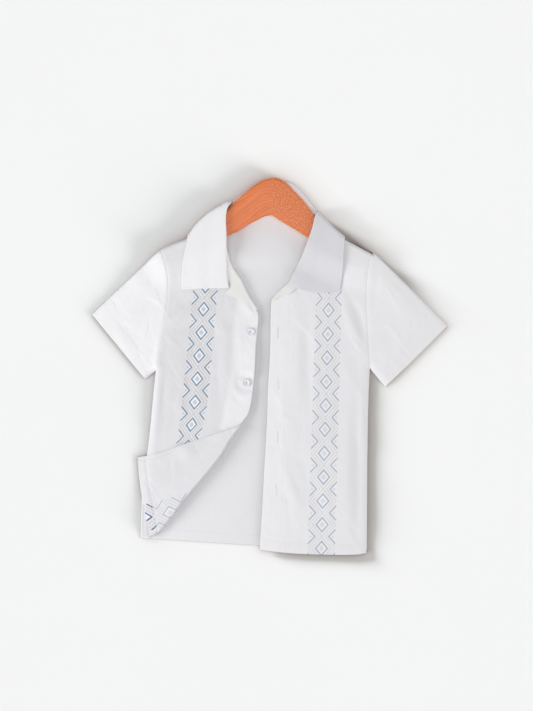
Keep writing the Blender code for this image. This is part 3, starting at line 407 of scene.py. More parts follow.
# %% [markdown]
# ## From grid to cloth
# A cut piece of cloth is a sheet with a right side and a wrong side. A grid of points becomes one mesh, its place in
# the flat cut (across and along, in metres) goes into a UV map for the weave and the bands to follow, and Solidify
# gives it its thickness. Solidify can put a second material on the far side, which is how the wrong side gets its own.

# %% Grid to cloth
def grid_faces(rows, cols, closed=False, turned=False):
    """Corner numbers of each cell: here, next column, next row and column, next row."""
    number = np.arange(rows * cols).reshape(rows, cols)
    if closed:
        number = np.concatenate([number, number[:, :1]], axis=1)
    quads = np.stack([number[:-1, :-1], number[:-1, 1:], number[1:, 1:], number[1:, :-1]], -1).reshape(-1, 4)
    return quads[:, ::-1] if turned else quads


def sheet_area(points, faces):
    """Half the cross product of each cell's diagonals, added up, in square metres."""
    p = points.reshape(-1, 3)[faces] * MM
    return float(norm(np.cross(p[:, 2] - p[:, 0], p[:, 3] - p[:, 1])).sum() / 2)


def cut_size(points):
    """Longest row and longest column of the grid, as lengths along the cloth, in metres."""
    return [float(norm(np.diff(points, axis=k)).sum(k).max() * MM) for k in (1, 0)]


def add_object(name, data, place=(0, 0, 0)):
    obj = bpy.data.objects.new(name, data)
    obj.location = place
    bpy.context.scene.collection.objects.link(obj)
    return obj


def new_piece(name, points, faces, materials, cut=None):
    """A mesh from points in millimetres, with its UV map taken corner by corner from the cut."""
    mesh = bpy.data.meshes.new(name)
    mesh.from_pydata((points.reshape(-1, 3) * MM).tolist(), [], faces.tolist())
    if cut is not None:
        layer = mesh.uv_layers.new(name="cut")
        layer.data.foreach_set("uv", (cut.reshape(-1, 2)[faces.reshape(-1)] * MM).astype(np.float32).ravel())
    for material in materials:
        mesh.materials.append(material)
    mesh.polygons.foreach_set("use_smooth", np.ones(len(faces), bool))
    mesh.update()
    return add_object(name, mesh)


def declare(obj, slot, *nodes):
    """Makes the piece ride on the body and hides the solids that it stands for. The slot is not used."""
    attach(obj, "root")
    if nodes:
        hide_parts(*nodes)


def cloth_piece(name, points, cut, materials, nodes, closed=False, turned=False, thick=SHELL):
    """The grid as cloth: thickened evenly about its middle, its wrong side in the second material."""
    faces = grid_faces(*points.shape[:2], closed, turned)
    obj = new_piece(name, points, faces, materials, cut)
    wall = obj.modifiers.new("wall", "SOLIDIFY")
    wall.thickness, wall.offset = thick * MM, 0
    wall.material_offset = len(materials) - 1
    declare(obj, "white_cotton", *nodes)
    across, down = cut_size(np.concatenate([points, points[:, :1]], axis=1) if closed else points)
    area = sheet_area(points, faces)
    print(f"{name}: {len(faces)} cells, cut {across * 1000:.0f} x {down * 1000:.0f} mm, {area * 1e4:.0f} cm2")


# %% [markdown]
# ## Weave and woven bands
# The cotton has fine raised cords down its length, and each front carries a band of diamonds between chevrons, a
# common ornament on this kind of shirt. Both are worked out in the shader from the cut's coordinates, so they follow
# the cloth over its folds. They are node groups, because several materials use each of them.

# %% Numbers in a shader
def join(tree, socket, value):
    """Sets the socket to a value, or links it where the value is made by another node."""
    value = value.socket if isinstance(value, Term) else value
    if isinstance(value, bpy.types.NodeSocket):
        tree.links.new(value, socket)
    elif value is not None:
        socket.default_value = value


def node(tree, kind, values=(), **settings):
    """A node with its settings, its inputs set or linked in order where a value isn't None."""
    made = tree.nodes.new(kind)
    for key, value in settings.items():
        setattr(made, key, value)
    for socket, value in zip(made.inputs, values):
        join(tree, socket, value)
    return made


class Term:
    """A number in a shader tree. The usual signs make its Math nodes, so a formula reads as one."""

    def __init__(self, tree, socket):
        self.tree, self.socket = tree, socket

    def maths(self, operation, *others, clamp=False):
        made = node(self.tree, "ShaderNodeMath", (self, *others), operation=operation, use_clamp=clamp)
        return Term(self.tree, made.outputs[0])

    def __add__(self, other):
        return self.maths("ADD", other)

    def __sub__(self, other):
        return self.maths("SUBTRACT", other)

    def __rsub__(self, other):
        made = node(self.tree, "ShaderNodeMath", (other, self), operation="SUBTRACT")
        return Term(self.tree, made.outputs[0])

    def __mul__(self, other):
        return self.maths("MULTIPLY", other)

    def __truediv__(self, other):
        return self.maths("DIVIDE", other)

    def __abs__(self):
        return self.maths("ABSOLUTE")

    def between(self, low, high, soft):
        """1 where the number lies between low and high, eased over soft at both ends."""
        up, down = (self - (low - soft / 2)) / soft, ((high + soft / 2) - self) / soft
        return up.maths("MINIMUM", down, clamp=True)


def vector_maths(tree, operation, *values):
    return node(tree, "ShaderNodeVectorMath", values, operation=operation).outputs[0]


def noise(tree, place, scale, detail, roughness=0.5):
    """Noise at the place: its Fac output as a number, and its Color output."""
    made = node(tree, "ShaderNodeTexNoise", (place, None, scale, detail, roughness)).outputs
    return Term(tree, made[0]), made[1]


def mixed(tree, share, a, b):
    """Colour a where the share is 0, colour b where it is 1."""
    mix = node(tree, "ShaderNodeMix", data_type="RGBA")
    for number, value in ((0, share), (6, a), (7, b)):
        join(tree, mix.inputs[number], value)
    return mix.outputs[2]


def new_group(name, numbers, results):
    """A shader group of the vector Cut and these numbers, with its ends and with Cut's parts in millimetres."""
    group = bpy.data.node_groups.new(name, "ShaderNodeTree")
    group.interface.new_socket("Cut", in_out="INPUT", socket_type="NodeSocketVector")
    for label, value in numbers.items():
        group.interface.new_socket(label, in_out="INPUT", socket_type="NodeSocketFloat").default_value = value
    for label in results:
        group.interface.new_socket(label, in_out="OUTPUT", socket_type="NodeSocketFloat")
    given, out = group.nodes.new("NodeGroupInput").outputs, group.nodes.new("NodeGroupOutput").inputs
    in_mm = vector_maths(group, "MULTIPLY", given["Cut"], (1000.0, 1000.0, 0.0))
    across, down = (Term(group, part) for part in node(group, "ShaderNodeSeparateXYZ", (in_mm,)).outputs[:2])
    return group, given, out, in_mm, across, down


# %% Cords of the cloth
CORD_SHARE, WEAVE_SHARE, LONG_SHARE, STREAK = 0.6, 0.25, 0.3, (0.8, 0.05, 0.0)
SHADE_CORD, SHADE_LONG = 0.55, 0.45


def make_cord_group():
    """Height: a cosine across the cloth with the cord's pitch, broken up along it by fine noise and by the weft."""
    group, given, out, in_mm, across, down = new_group(
        "cord_weave", {"Cord pitch mm": 2.4, "Thread pitch mm": 0.5}, ("Height", "Shade"))

    def wave(operation, value, pitch):
        return (value * math.tau / given[pitch]).maths(operation).maths("MULTIPLY_ADD", 0.5, 0.5)

    cord = wave("COSINE", across, "Cord pitch mm")
    weave = wave("SINE", down, "Thread pitch mm") * wave("SINE", across, "Thread pitch mm")
    long_noise = noise(group, vector_maths(group, "MULTIPLY", in_mm, STREAK), 1.0, 2.0)[0]
    join(group, out["Height"], cord * CORD_SHARE + weave * WEAVE_SHARE + long_noise * LONG_SHARE)
    join(group, out["Shade"], cord * SHADE_CORD + long_noise * SHADE_LONG)
    return group


CORDS = make_cord_group()

# %% Diamond band
PITCH = 32.4
DIAMOND_WIDE, DIAMOND_TALL = 8.7, 10.8
STROKE, SAND_MIDDLE, PALE_FROM = 0.27, 0.36, 0.42
LATTICE = ((1.36, 1.6), (1.92, 2.12))
CHEVRON_APEX, CHEVRON_SLOPE, CHEVRON_STROKE, CHEVRON_REACH, CHEVRON_PALE_TO = 7.7, 0.89, 2.3, 10.8, 12.9
DOT_FROM, DOT_TO, DOT_HALF = 13.2, 15.4, 1.1
BAND_HALF = 17.6
STITCH, DASH_RUN = 0.7, 2.8
DOT_SHARE, PALE_SHARE, SAND_SHARE, LATTICE_SHARE = 0.4, 0.35, 0.6, 0.75


def make_band_group():
    """Bands of |across| / width + |along| / height: a diamond's outline, the lattice beside it and its middle. The
    chevrons are bands of |across| less a slope times the distance from the point midway between two diamonds."""
    group, given, out, in_mm, across, down = new_group(
        "diamond_band", {"Middle mm": 80.0, "Phase mm": 0.0}, ("Blue", "Pale", "Sand"))
    across = abs(across - given["Middle mm"]).maths("SNAP", STITCH / 2)
    run = (down - given["Phase mm"]).maths("SNAP", STITCH)
    near = run.maths("PINGPONG", PITCH / 2)
    midway = PITCH / 2 - near
    diamond = across / DIAMOND_WIDE + near / DIAMOND_TALL
    chevron = across - midway * CHEVRON_SLOPE
    in_band = across.between(-1.0, BAND_HALF, 0.6)
    outline = diamond.between(1.0 - STROKE, 1.0, 0.06)
    chevron_end = CHEVRON_APEX + CHEVRON_STROKE
    arm = chevron.between(CHEVRON_APEX, chevron_end, 0.5) * midway.between(-1.0, CHEVRON_REACH, 0.5)
    dot = across.between(DOT_FROM, DOT_TO, 0.4) * midway.between(-1.0, DOT_HALF, 0.4) * DOT_SHARE
    blue = outline.maths("MAXIMUM", arm).maths("MAXIMUM", dot)
    inner = diamond.between(PALE_FROM, 1.0 - STROKE, 0.08)
    beside = chevron.between(chevron_end, CHEVRON_PALE_TO, 0.5) * midway.between(-1.0, CHEVRON_REACH - 2.0, 0.5)
    pale = inner.maths("MAXIMUM", beside * PALE_SHARE)
    dashed = (run * (math.tau / DASH_RUN)).maths("SINE").maths("GREATER_THAN", -0.3)
    lines = [diamond.between(low, high, 0.1) for low, high in LATTICE]
    lattice = lines[0].maths("MAXIMUM", lines[1]) * dashed * (1.0 - blue)
    sand = (diamond.between(-1.0, SAND_MIDDLE, 0.06) * SAND_SHARE).maths("MAXIMUM", lattice * LATTICE_SHARE)
    for label, share in (("Blue", blue), ("Pale", pale), ("Sand", sand)):
        join(group, out[label], share * in_band)
    return group


BAND = make_band_group()

# %% [markdown]
# ## Cotton
# All finishes share the cords. Plain cotton of a few whites makes collar, sleeves, back and facings; the darker
# white of the collar's half on the wearer's left is painted shade. The fronts have the band at full strength on their
# right side and faint on their wrong side, where it only shines through. Near the front edge they are whiter, partly
# from the facing under it and partly as a painted highlight, and the right front's greyer white is painted shade.

# %% Shader helpers
def new_material(name, **looks):
    """A material whose Principled shader has these looks, named as its sockets are, with _ for a space."""
    material = bpy.data.materials.new(name)
    material.use_nodes = True
    sockets = material.node_tree.nodes["Principled BSDF"].inputs
    for label, value in looks.items():
        sockets[label.replace("_", " ")].default_value = value
    return material, material.node_tree, sockets


def relief(tree, sockets, height, strength, distance):
    """The height as a bump of this strength and of this depth in metres."""
    bump = node(tree, "ShaderNodeBump")
    for label, value in (("Strength", strength), ("Distance", distance), ("Height", height)):
        join(tree, bump.inputs[label], value)
    tree.links.new(bump.outputs[0], sockets["Normal"])


# %% Cotton materials
# Each pair of tones: between the cords and on them
CLOTH_TONES = (0.785, 0.785, 0.808, 1), (0.825, 0.825, 0.848, 1)
SINGLE_TONES = (0.76, 0.76, 0.788, 1), (0.80, 0.80, 0.828, 1)
BACK_TONES = (0.73, 0.73, 0.755, 1), (0.765, 0.765, 0.79, 1)
# The collar's darker tones are painted shade, for its half on the wearer's left
COLLAR_SHADED_TONES = (0.665, 0.665, 0.70, 1), (0.685, 0.685, 0.72, 1)
FACING_TONES = (0.75, 0.755, 0.745, 1), (0.78, 0.785, 0.775, 1)
# Greyer tones: the cloth's wrong side, and also a painted shade of the whole right front on its right side
WRONG_SIDE_AND_SHADED_TONES = (0.69, 0.69, 0.72, 1), (0.735, 0.735, 0.765, 1)
BAND_BLUE, BAND_PALE, BAND_SAND = (0.17, 0.255, 0.36, 1), (0.80, 0.84, 0.91, 1), (0.49, 0.485, 0.49, 1)
BAND_DEEP = (0.10, 0.14, 0.30, 1)
BAND_MIDDLE, RIGHT_PHASE, LEFT_PHASE = 80.0, 79.6, 76.2
CORD_BUMP, CORD_DEPTH, FACING_AND_PAINTED_LIGHT_FADE = 0.35, 0.00025, 0.008


def make_cotton(name, tones=CLOTH_TONES, phase=None, strength=1.0, cord=1.0, facing_and_painted_light_width=0.0, blue=BAND_BLUE):
    """Cotton: the cords' shade between two whites, their height as a bump, and the band's colours over it. Up to the
    given width on the cut's across coordinate it takes the whiter cloth tones: on the fronts partly for the facing
    under the front edge and partly as a painted highlight, on the collar leaving a painted shade on its other half."""
    material, tree, sockets = new_material(name, Roughness=0.88, Specular_IOR_Level=0.25, Sheen_Weight=0.12,
                                           Sheen_Roughness=0.5)
    uv = node(tree, "ShaderNodeUVMap", uv_map="cut").outputs[0]
    cords = node(tree, "ShaderNodeGroup", (uv,), node_tree=CORDS).outputs
    shade = (Term(tree, cords["Shade"]) - 0.5).maths("MULTIPLY_ADD", cord, 0.5)
    colour = mixed(tree, shade, *tones)
    # Whiter up to the given width: the facing under the front edge, and in part painted light (a highlight on the
    # fronts, shade left on the collar's other half)
    if facing_and_painted_light_width:
        across = Term(tree, node(tree, "ShaderNodeSeparateXYZ", (uv,)).outputs[0])
        facing_and_painted_light_share = across.between(-1.0, facing_and_painted_light_width * MM, FACING_AND_PAINTED_LIGHT_FADE)
        colour = mixed(tree, facing_and_painted_light_share, colour, mixed(tree, shade, *CLOTH_TONES))
    if phase is not None:
        ornament = node(tree, "ShaderNodeGroup", (uv, BAND_MIDDLE, phase), node_tree=BAND).outputs
        for label, tint in (("Sand", BAND_SAND), ("Pale", BAND_PALE), ("Blue", blue)):
            colour = mixed(tree, Term(tree, ornament[label]) * strength, colour, tint)
    tree.links.new(colour, sockets["Base Color"])
    relief(tree, sockets, cords["Height"], CORD_BUMP * cord, CORD_DEPTH)
    return material


cotton = make_cotton("white_cotton_cloth")
cotton_back = make_cotton("white_cotton_back", BACK_TONES, cord=0.6)
# The collar's across coordinate is 0 at the neck's middle, so its leaf on the wearer's right keeps the whiter cloth
# tones, and the rest, with the leaf on the wearer's left, keeps darker tones: a painted shade
cotton_collar = make_cotton("white_cotton_collar", COLLAR_SHADED_TONES, cord=0.3, facing_and_painted_light_width=0.1)
cotton_smooth = make_cotton("white_cotton_smooth", FACING_TONES, cord=0.3)
# The right front's right side, its corner's hem strip and its turning take the greyer tones as painted shade of that
# front
cotton_turned = make_cotton("white_cotton_turned", WRONG_SIDE_AND_SHADED_TONES, cord=0.6)
# Both fronts are whiter near their front edge: partly the facing under it, partly a painted highlight of the lit edge
cotton_right = make_cotton("banded_cotton_right", WRONG_SIDE_AND_SHADED_TONES, RIGHT_PHASE, facing_and_painted_light_width=34)
cotton_right_inside = make_cotton("banded_cotton_right_inside", WRONG_SIDE_AND_SHADED_TONES, RIGHT_PHASE, 0.42)
cotton_hem = make_cotton("banded_cotton_hem", WRONG_SIDE_AND_SHADED_TONES, RIGHT_PHASE, blue=BAND_DEEP)
# Whiter near the front edge: partly the facing under it, partly a painted highlight
cotton_left = make_cotton("banded_cotton_left", SINGLE_TONES, LEFT_PHASE, 0.60, facing_and_painted_light_width=28)
cotton_left_inside = make_cotton("banded_cotton_left_inside", WRONG_SIDE_AND_SHADED_TONES, LEFT_PHASE, 0.32)

# %% [markdown]
# ## Back
# The back is the layer that rests on the surface, so it is flat. Only its inside shows, in the open front and below
# the turned corner. Its grid runs from shoulder to hem, with straight rows between its two side lines.

# %% Back panel
BACK_ROWS, BACK_COLS, BACK_HEM_WIDTH, BACK_RIPPLE = 170, 130, 14.0, 0.2
BACK_MIDDLE_X, BACK_CROWDING, TOP_BOW_FADE, HEM_BOW_POWER = -10.0, 0.7, 1.6, 4
RIPPLE_FROM, RIPPLE_OVER = 4, 20
BACK_GROOVE, BACK_HEM_SHARE, BACK_WAVES = -0.15, 0.8, 1.7
UNEVEN_SUM = sum(abs(row[2]) for row in UNEVEN)


def back_points():
    """Straight rows from side to side, bowed with the neck and shoulders at the top and with the hem below."""
    right = np.vstack([RIGHT_ARM_SEAM, np.array(RIGHT_SIDE[1:], float) + [BACK_SHIFT, 0]])
    left = np.vstack([LEFT_ARM_SEAM, np.array(LEFT_SIDE[1:-1], float) - [BACK_SHIFT, 0], BACK_HEM[-1:]])
    third = BACK_COLS // 3
    neck = along(inset(smooth_line(BACK_NECK), -SEAM - 0.2), np.linspace(0, 1, BACK_COLS - 2 * third + 2))
    top = np.vstack([along(inset(RIGHT_SHOULDER, BACK_SHIFT)[::-1], np.linspace(0, 1, third)), neck[1:-1],
                     along(inset(LEFT_SHOULDER, -BACK_SHIFT), np.linspace(0, 1, third))])
    across = np.linspace(0, 1, len(top))
    top_bow, hem_bow = off_chord(top, across), off_chord(along(smooth_line(BACK_HEM), across), across)
    down = np.linspace(0, 1, BACK_ROWS)
    share = (1 + BACK_CROWDING) * down - BACK_CROWDING * down**2
    plan = rows_between(along(right, share), along(left, share), across)
    share = share[:, None, None]
    plan = plan + top_bow * (1 - ease(share * TOP_BOW_FADE)) + hem_bow * share**HEM_BOW_POWER
    from_hem = norm(plan - plan[-1])
    turned = np.maximum(hem_relief(from_hem, plan[..., 0], BACK_HEM_WIDTH), BACK_GROOVE) * BACK_HEM_SHARE
    return with_height(plan, back_mid(plan[..., 1]) + turned
                       + BACK_RIPPLE * ease((from_hem - RIPPLE_FROM) / RIPPLE_OVER)
                       * (1 + unevenness(plan * BACK_WAVES) / UNEVEN_SUM))


back = back_points()
back_cut = back[..., :2] - [BACK_MIDDLE_X, 0]
cloth_piece("shirt_back", back, back_cut, [cotton_back], ["back"], turned=True)

# %% [markdown]
# ## Fronts
# Each front is one panel from shoulder to hem. The grid's rows run from the armhole and side to the front edge. The
# band keeps a fixed share of the width, since the cut's across coordinate is measured from the front edge to the side.

# %% Rows down a front
ARMHOLE_ROWS, SIDE_ROWS, FRONT_COLS = 110, 120, 100
FRONT_WIDTH = 139.0


def panel_side(armhole, side):
    """Row ends down the armhole, then down the side."""
    stops = edge_stops(ARMHOLE_ROWS, ARMHOLE_ROLLED_SHARE, both=True)
    return np.vstack([along(armhole, stops)[:-1], along(side, np.linspace(0, 1, SIDE_ROWS + 1))])


def follow_shoulder(panel, shoulder):
    """Rows moved by the shoulder's bow from its chord, less and less with the distance from it."""
    chord = norm(panel[0] - panel[0, 0]) / norm(panel[0, -1] - panel[0, 0])
    bow = shoulder - (shoulder[0] + (panel[0, -1] - shoulder[0]) * chord[:, None])
    down = norm(panel[:, 0] - panel[0, 0])
    fade = 1 - ease((down - SHOULDER_ROLL) / SHOULDER_BOW_LENGTH)
    return panel + bow * fade[:, None, None]


def front_cut(plan, centre, side, stretch=1.0):
    """Across: share of the way from the centre line to the side line, times the panel's width. Along: height on the
    plan, stretched."""
    y = plan[..., 1]
    middle = np.interp(y, *zip(*centre))
    outer = np.interp(y, *zip(*side))
    return np.stack([(plan[..., 0] - middle) / (outer - middle) * FRONT_WIDTH, y * stretch], axis=-1)


# %% Right front with its turned corner
FLAP_RADII = (2.1, 2.5)
FLAP_TURNS, FLAP_ROWS, BEND_ROWS = 18, 110, 70
FLAP_GAP, FLAP_SETTLES, FLAP_TIP_LOW = 0.8, 34.0, 0.9
PAST_SIDE, PAST_SIDE_OVER, HEM_WAVES_START = 11.0, 24.0, 6
HIDDEN_BUTTONS = np.array([(-62, -97), (-113, -115)], float)
OVER_BUTTON, BUTTON_BUMP = 3.2, 13.0
HEM_WIDTH = 14.0
RIGHT_CUT_CENTRE = [(-250, -37.9), (69, -15.0), (230, -3.4)]
RIGHT_CUT_SIDE = [(-233, -177.5), (-78, -163.3), (-7, -155.7), (230, -130.0)]
CORNER_ACROSS, CORNER_HEM, CORNER_TOP, CORNER_HEM_LENGTH = 109.0, -242.0, -98.0, 110.0
RIGHT_STRETCH = 1.026


def right_front_points():
    """The panel down to its fold, half a turn of the fold, then the corner, which narrows to its point."""
    side = np.vstack([np.array(RIGHT_SIDE, float) + [SIDE_SHIFT, 0], [(-168, -233.4)]])
    centre = smooth_line(RIGHT_CENTRE)
    left = panel_side(RIGHT_ARM_SEAM, side)
    rows = len(left)
    right = along(centre, lengths(left) / lengths(left)[-1])
    stops = edge_stops(FRONT_COLS, ROLLED_SHARE)
    radius = np.interp(stops, [0, 1], FLAP_RADII)
    fold = along(RIGHT_FOLD_LINE[::-1], stops)
    inward = inset(fold, 1.0) - fold
    start = fold + inward * radius[:, None]
    panel = rows_between(left, right, stops)
    panel = follow_shoulder(panel, along(inset(RIGHT_SHOULDER, CLOTH / 2)[::-1], stops))
    bow = start - (panel[-1, 0] + (panel[-1, -1] - panel[-1, 0]) * stops[:, None])
    bend = ease((np.arange(rows) - rows + 1 + BEND_ROWS) / BEND_ROWS)[:, None, None]
    panel = panel + bow * bend
    parts = [with_height(panel, front_height(panel))]
    base = front_height(start)
    for angle in np.linspace(0, np.pi, FLAP_TURNS + 1)[1:]:
        plan = start - inward * (radius * math.sin(angle))[:, None]
        parts.append(with_height(plan, base + radius * (1 - math.cos(angle)))[None])
    share = np.linspace(0, 1, FLAP_ROWS + 1)[1:]
    hem, edge = along(smooth_line(FLAP_HEM), share), along(smooth_line(FLAP_TOP), share)
    flap = rows_between(hem, edge, stops) + off_chord(start, stops) * (1 - share[:, None, None])
    from_fold = norm(flap - start)
    over_button = np.min([norm(flap - spot) for spot in HIDDEN_BUTTONS], axis=0)
    gap = np.maximum(FLAP_GAP + (2 * radius - FLAP_GAP) * (1 - ease(from_fold / FLAP_SETTLES)),
                     FLAP_GAP + OVER_BUTTON * np.exp(-(over_button / BUTTON_BUMP) ** 2))
    inside = flap[..., 0] - np.interp(-flap[..., 1], *zip(*[(-y, x) for x, y in RIGHT_SIDE]))
    under = FLAP_TIP_LOW + (plateau(flap) - FLAP_TIP_LOW) * ease((inside + PAST_SIDE) / PAST_SIDE_OVER)
    hem_waves = hem_relief(norm(flap - flap[:, :1]), share[:, None] * CORNER_HEM_LENGTH, HEM_WIDTH)
    parts.append(with_height(flap, under + gap + hem_waves * ease(share[:, None] * HEM_WAVES_START)))
    at_fold = np.stack([CORNER_ACROSS * (1 - stops), CORNER_HEM + (CORNER_TOP - CORNER_HEM) * stops], axis=-1)
    on_panel = front_cut(panel, RIGHT_CUT_CENTRE, RIGHT_CUT_SIDE, RIGHT_STRETCH)
    cuts = [on_panel + (at_fold - on_panel[-1]) * bend]
    tip = np.array([0.0, CORNER_HEM])
    for part in np.concatenate([np.zeros(FLAP_TURNS), share]):
        cuts.append((at_fold + (tip - at_fold) * part)[None])
    return np.concatenate(parts), np.concatenate(cuts), rows


right_front, right_cut, right_rows = right_front_points()
cloth_piece("shirt_front_right", right_front, right_cut, [cotton_right, cotton_right_inside], ["front_right"],
            turned=True)

# %% Left front
LEFT_CUT_CENTRE = [(-250, -14.0), (89, 1.5), (230, 8.0)]
LEFT_CUT_SIDE = [(-254, 131.5), (-3, 136.0), (230, 140.0)]
PLACKET_WIDTH, PLACKET_RISE, PLACKET_SOFT = 24.0, 0.3, 3.0


def left_front_points():
    """Rows from armhole and side to the front edge, the last ones bent to the hem's bow."""
    left = panel_side(LEFT_ARM_SEAM, np.array(LEFT_SIDE, float) - [SIDE_SHIFT, 0])
    rows = len(left)
    stops = edge_stops(FRONT_COLS, ROLLED_SHARE)
    right = along(smooth_line(LEFT_CENTRE), lengths(left) / lengths(left)[-1])
    plan = rows_between(left, right, stops)
    plan = follow_shoulder(plan, along(inset(LEFT_SHOULDER, -CLOTH / 2)[::-1], stops))
    hem_bow = off_chord(along(smooth_line(LEFT_HEM)[::-1], stops), stops)
    plan = plan + hem_bow * ease(np.linspace(-3, 1, rows))[:, None, None]
    cut = front_cut(plan, LEFT_CUT_CENTRE, LEFT_CUT_SIDE)
    from_hem = norm(plan - plan[-1])
    placket = PLACKET_RISE * (1 - ease((cut[..., 0] - PLACKET_WIDTH) / PLACKET_SOFT))
    height = front_height(plan) + hem_relief(from_hem, cut[..., 0], HEM_WIDTH) + placket
    return with_height(plan, height), cut


left_front, left_cut = left_front_points()
cloth_piece("shirt_front_left", left_front, left_cut, [cotton_left, cotton_left_inside], ["front_left"])

# %% [markdown]
# ## Hem of the turned corner
# A hem is the cloth's edge folded to the inside and stitched. On the turned corner the inside faces up, so the folded
# strip shows the right side again, with the band at full strength. The strip is read off the corner's own grid.

# %% Hem strip and narrow front turning
FLAP_START = right_rows + FLAP_TURNS - 1
STRIP_ABOVE, STRIP_COLS, STRIP_ROWS, STRIP_ENDS, HEM_SLACK, EDGE_FADE = 0.5, 22, 90, (0.004, 0.985), -5.0, 3.5
TURNING_WIDTH, TURNING_ROWS, TURNING_COLS, TURNING_ENDS, STRIP_THICK = 9.5, 80, 8, (0.62, 0.99), 0.5
TURNING_FADE, TURNING_LEAST = 0.12, 0.2


def on_flap(share_down, share_across):
    """Bilinear reading of the corner's grid at fractional row and column numbers."""
    grid, cuts = right_front[FLAP_START:], right_cut[FLAP_START:]
    row = share_down * (len(grid) - 1)
    col = np.interp(share_across, edge_stops(FRONT_COLS, ROLLED_SHARE), np.arange(FRONT_COLS))
    r, c = np.clip(row.astype(int), 0, len(grid) - 2), np.clip(col.astype(int), 0, FRONT_COLS - 2)
    a, b = (row - r)[..., None], (col - c)[..., None]
    return [(1 - a) * ((1 - b) * g[r, c] + b * g[r, c + 1]) + a * ((1 - b) * g[r + 1, c] + b * g[r + 1, c + 1])
            for g in (grid, cuts)]


def flap_width(share_down):
    """Straight distance between the corner's hem and its front edge, row by row."""
    ends = [on_flap(share_down, np.full_like(share_down, k))[0] for k in (0.0, 1.0)]
    return norm(ends[1] - ends[0])


down = np.linspace(*STRIP_ENDS, STRIP_ROWS)
from_edge = np.linspace(0.0, HEM_WIDTH, STRIP_COLS)
share_in = np.clip(from_edge[None] / np.maximum(flap_width(down), 1.0)[:, None], 0, 1)
strip, strip_cut = on_flap(down[:, None], share_in)
strip_height = STRIP_ABOVE * (1 - ease((from_edge - HEM_WIDTH + EDGE_FADE) / EDGE_FADE))
strip = with_height(strip[..., :2], strip[..., 2] + strip_height)
strip_cut = np.stack([strip_cut[..., 0], 2 * CORNER_HEM + HEM_SLACK - strip_cut[..., 1]], axis=-1)
cloth_piece("hem_strip_right", strip, strip_cut, [cotton_hem], [], turned=True,
            thick=STRIP_THICK)

down = np.linspace(*TURNING_ENDS, TURNING_ROWS)
turned_share = np.clip(TURNING_WIDTH / np.maximum(flap_width(down), 1.0), 0, 1)[:, None]
share_in = 1 - np.linspace(0, 1, TURNING_COLS) * turned_share
turning, turning_cut = on_flap(down[:, None], share_in)
fade = ease((down - TURNING_ENDS[0]) / TURNING_FADE)[:, None]
turning = with_height(turning[..., :2], turning[..., 2] + STRIP_ABOVE * (TURNING_LEAST + (1 - TURNING_LEAST) * fade))
cloth_piece("front_turning_right", turning, turning_cut, [cotton_turned], [],
            thick=STRIP_THICK)

# %% [markdown]
# ## Sleeves
# A sleeve is a tube that lies flat, so its grid is closed round the arm. A Coons patch fills the space between the
# armhole, the cuff, the upper fold and the underarm: it adds the blends of both pairs of sides and takes away the
# blend of the corners that was counted twice.

# %% Sleeves
SLEEVE_ROWS, SLEEVE_OVER, SLEEVE_UNDER = 84, 120, 60
SLEEVE_HEM, SLEEVE_HEM_SHARE = 20.0, 0.5


def sleeve_points(armhole, cuff, top, low, outward):
    """Upper layer on the height field, lower layer on the surface, one closed ring per row."""
    s = np.linspace(0, 1, SLEEVE_ROWS)[:, None, None]
    cuff, low = smooth_line(cuff), np.array(low, float)

    def patch(share):
        a, c = along(armhole, share)[None], along(cuff, share)[None]
        t, u = along(top, s[:, 0, 0])[:, None], along(low, s[:, 0, 0])[:, None]
        q = np.asarray(share)[None, :, None]
        corners = ((1 - s) * ((1 - q) * armhole[0] + q * armhole[-1]) + s * ((1 - q) * cuff[0] + q * cuff[-1]))
        return (1 - s) * a + s * c + (1 - q) * t + q * u - corners

    over = patch(edge_stops(SLEEVE_OVER, ARMHOLE_ROLLED_SHARE, both=True))
    under = patch(np.linspace(1, 0, SLEEVE_UNDER)[1:-1])
    under[..., 0] += outward * LOWER_SHIFT * (1 - s[..., 0]) ** 8
    beside = norm(over - over[:, :1])
    hem = SLEEVE_HEM_SHARE * hem_relief(norm(over - over[-1]), beside, SLEEVE_HEM) * ease(beside / 10)
    ring = np.concatenate([with_height(over, lift(over, FLOOR_MID) + hem), with_height(under, FLOOR_MID)], axis=1)
    way = (cuff[-1] - cuff[0]) / norm(cuff[-1] - cuff[0])
    place = ring[..., :2] - cuff[0]
    return ring, np.stack([place @ way, place @ np.array([-way[1], way[0]])], axis=-1)


SLEEVE_GRIDS = {}
for side_name, sleeve_args in {
        "right": (RIGHT_ARM_SEAM, RIGHT_CUFF, FOLD_LINES[0][5 * 8:], [(-156, -7), (-170, -17)], -1),
        "left": (LEFT_ARM_SEAM, LEFT_CUFF, FOLD_LINES[2][4 * 8:], [(136, -3), (157, -27)], 1)}.items():
    SLEEVE_GRIDS[side_name], sleeve_cut = sleeve_points(*sleeve_args)
    cloth_piece("shirt_sleeve_" + side_name, SLEEVE_GRIDS[side_name], sleeve_cut, [cotton], ["sleeve_" + side_name],
                closed=True, turned=side_name == "right")

# %% [markdown]
# ## Collar
# A camp collar is one strip of cloth: it stands up inside the neck, rolls over and falls as a leaf. A table of
# sections round the neck says where it is sewn on, where it rolls and where its edge lies. The grid walks from
# section to section, and where the leaf passes the shoulder's fold it turns under the back.

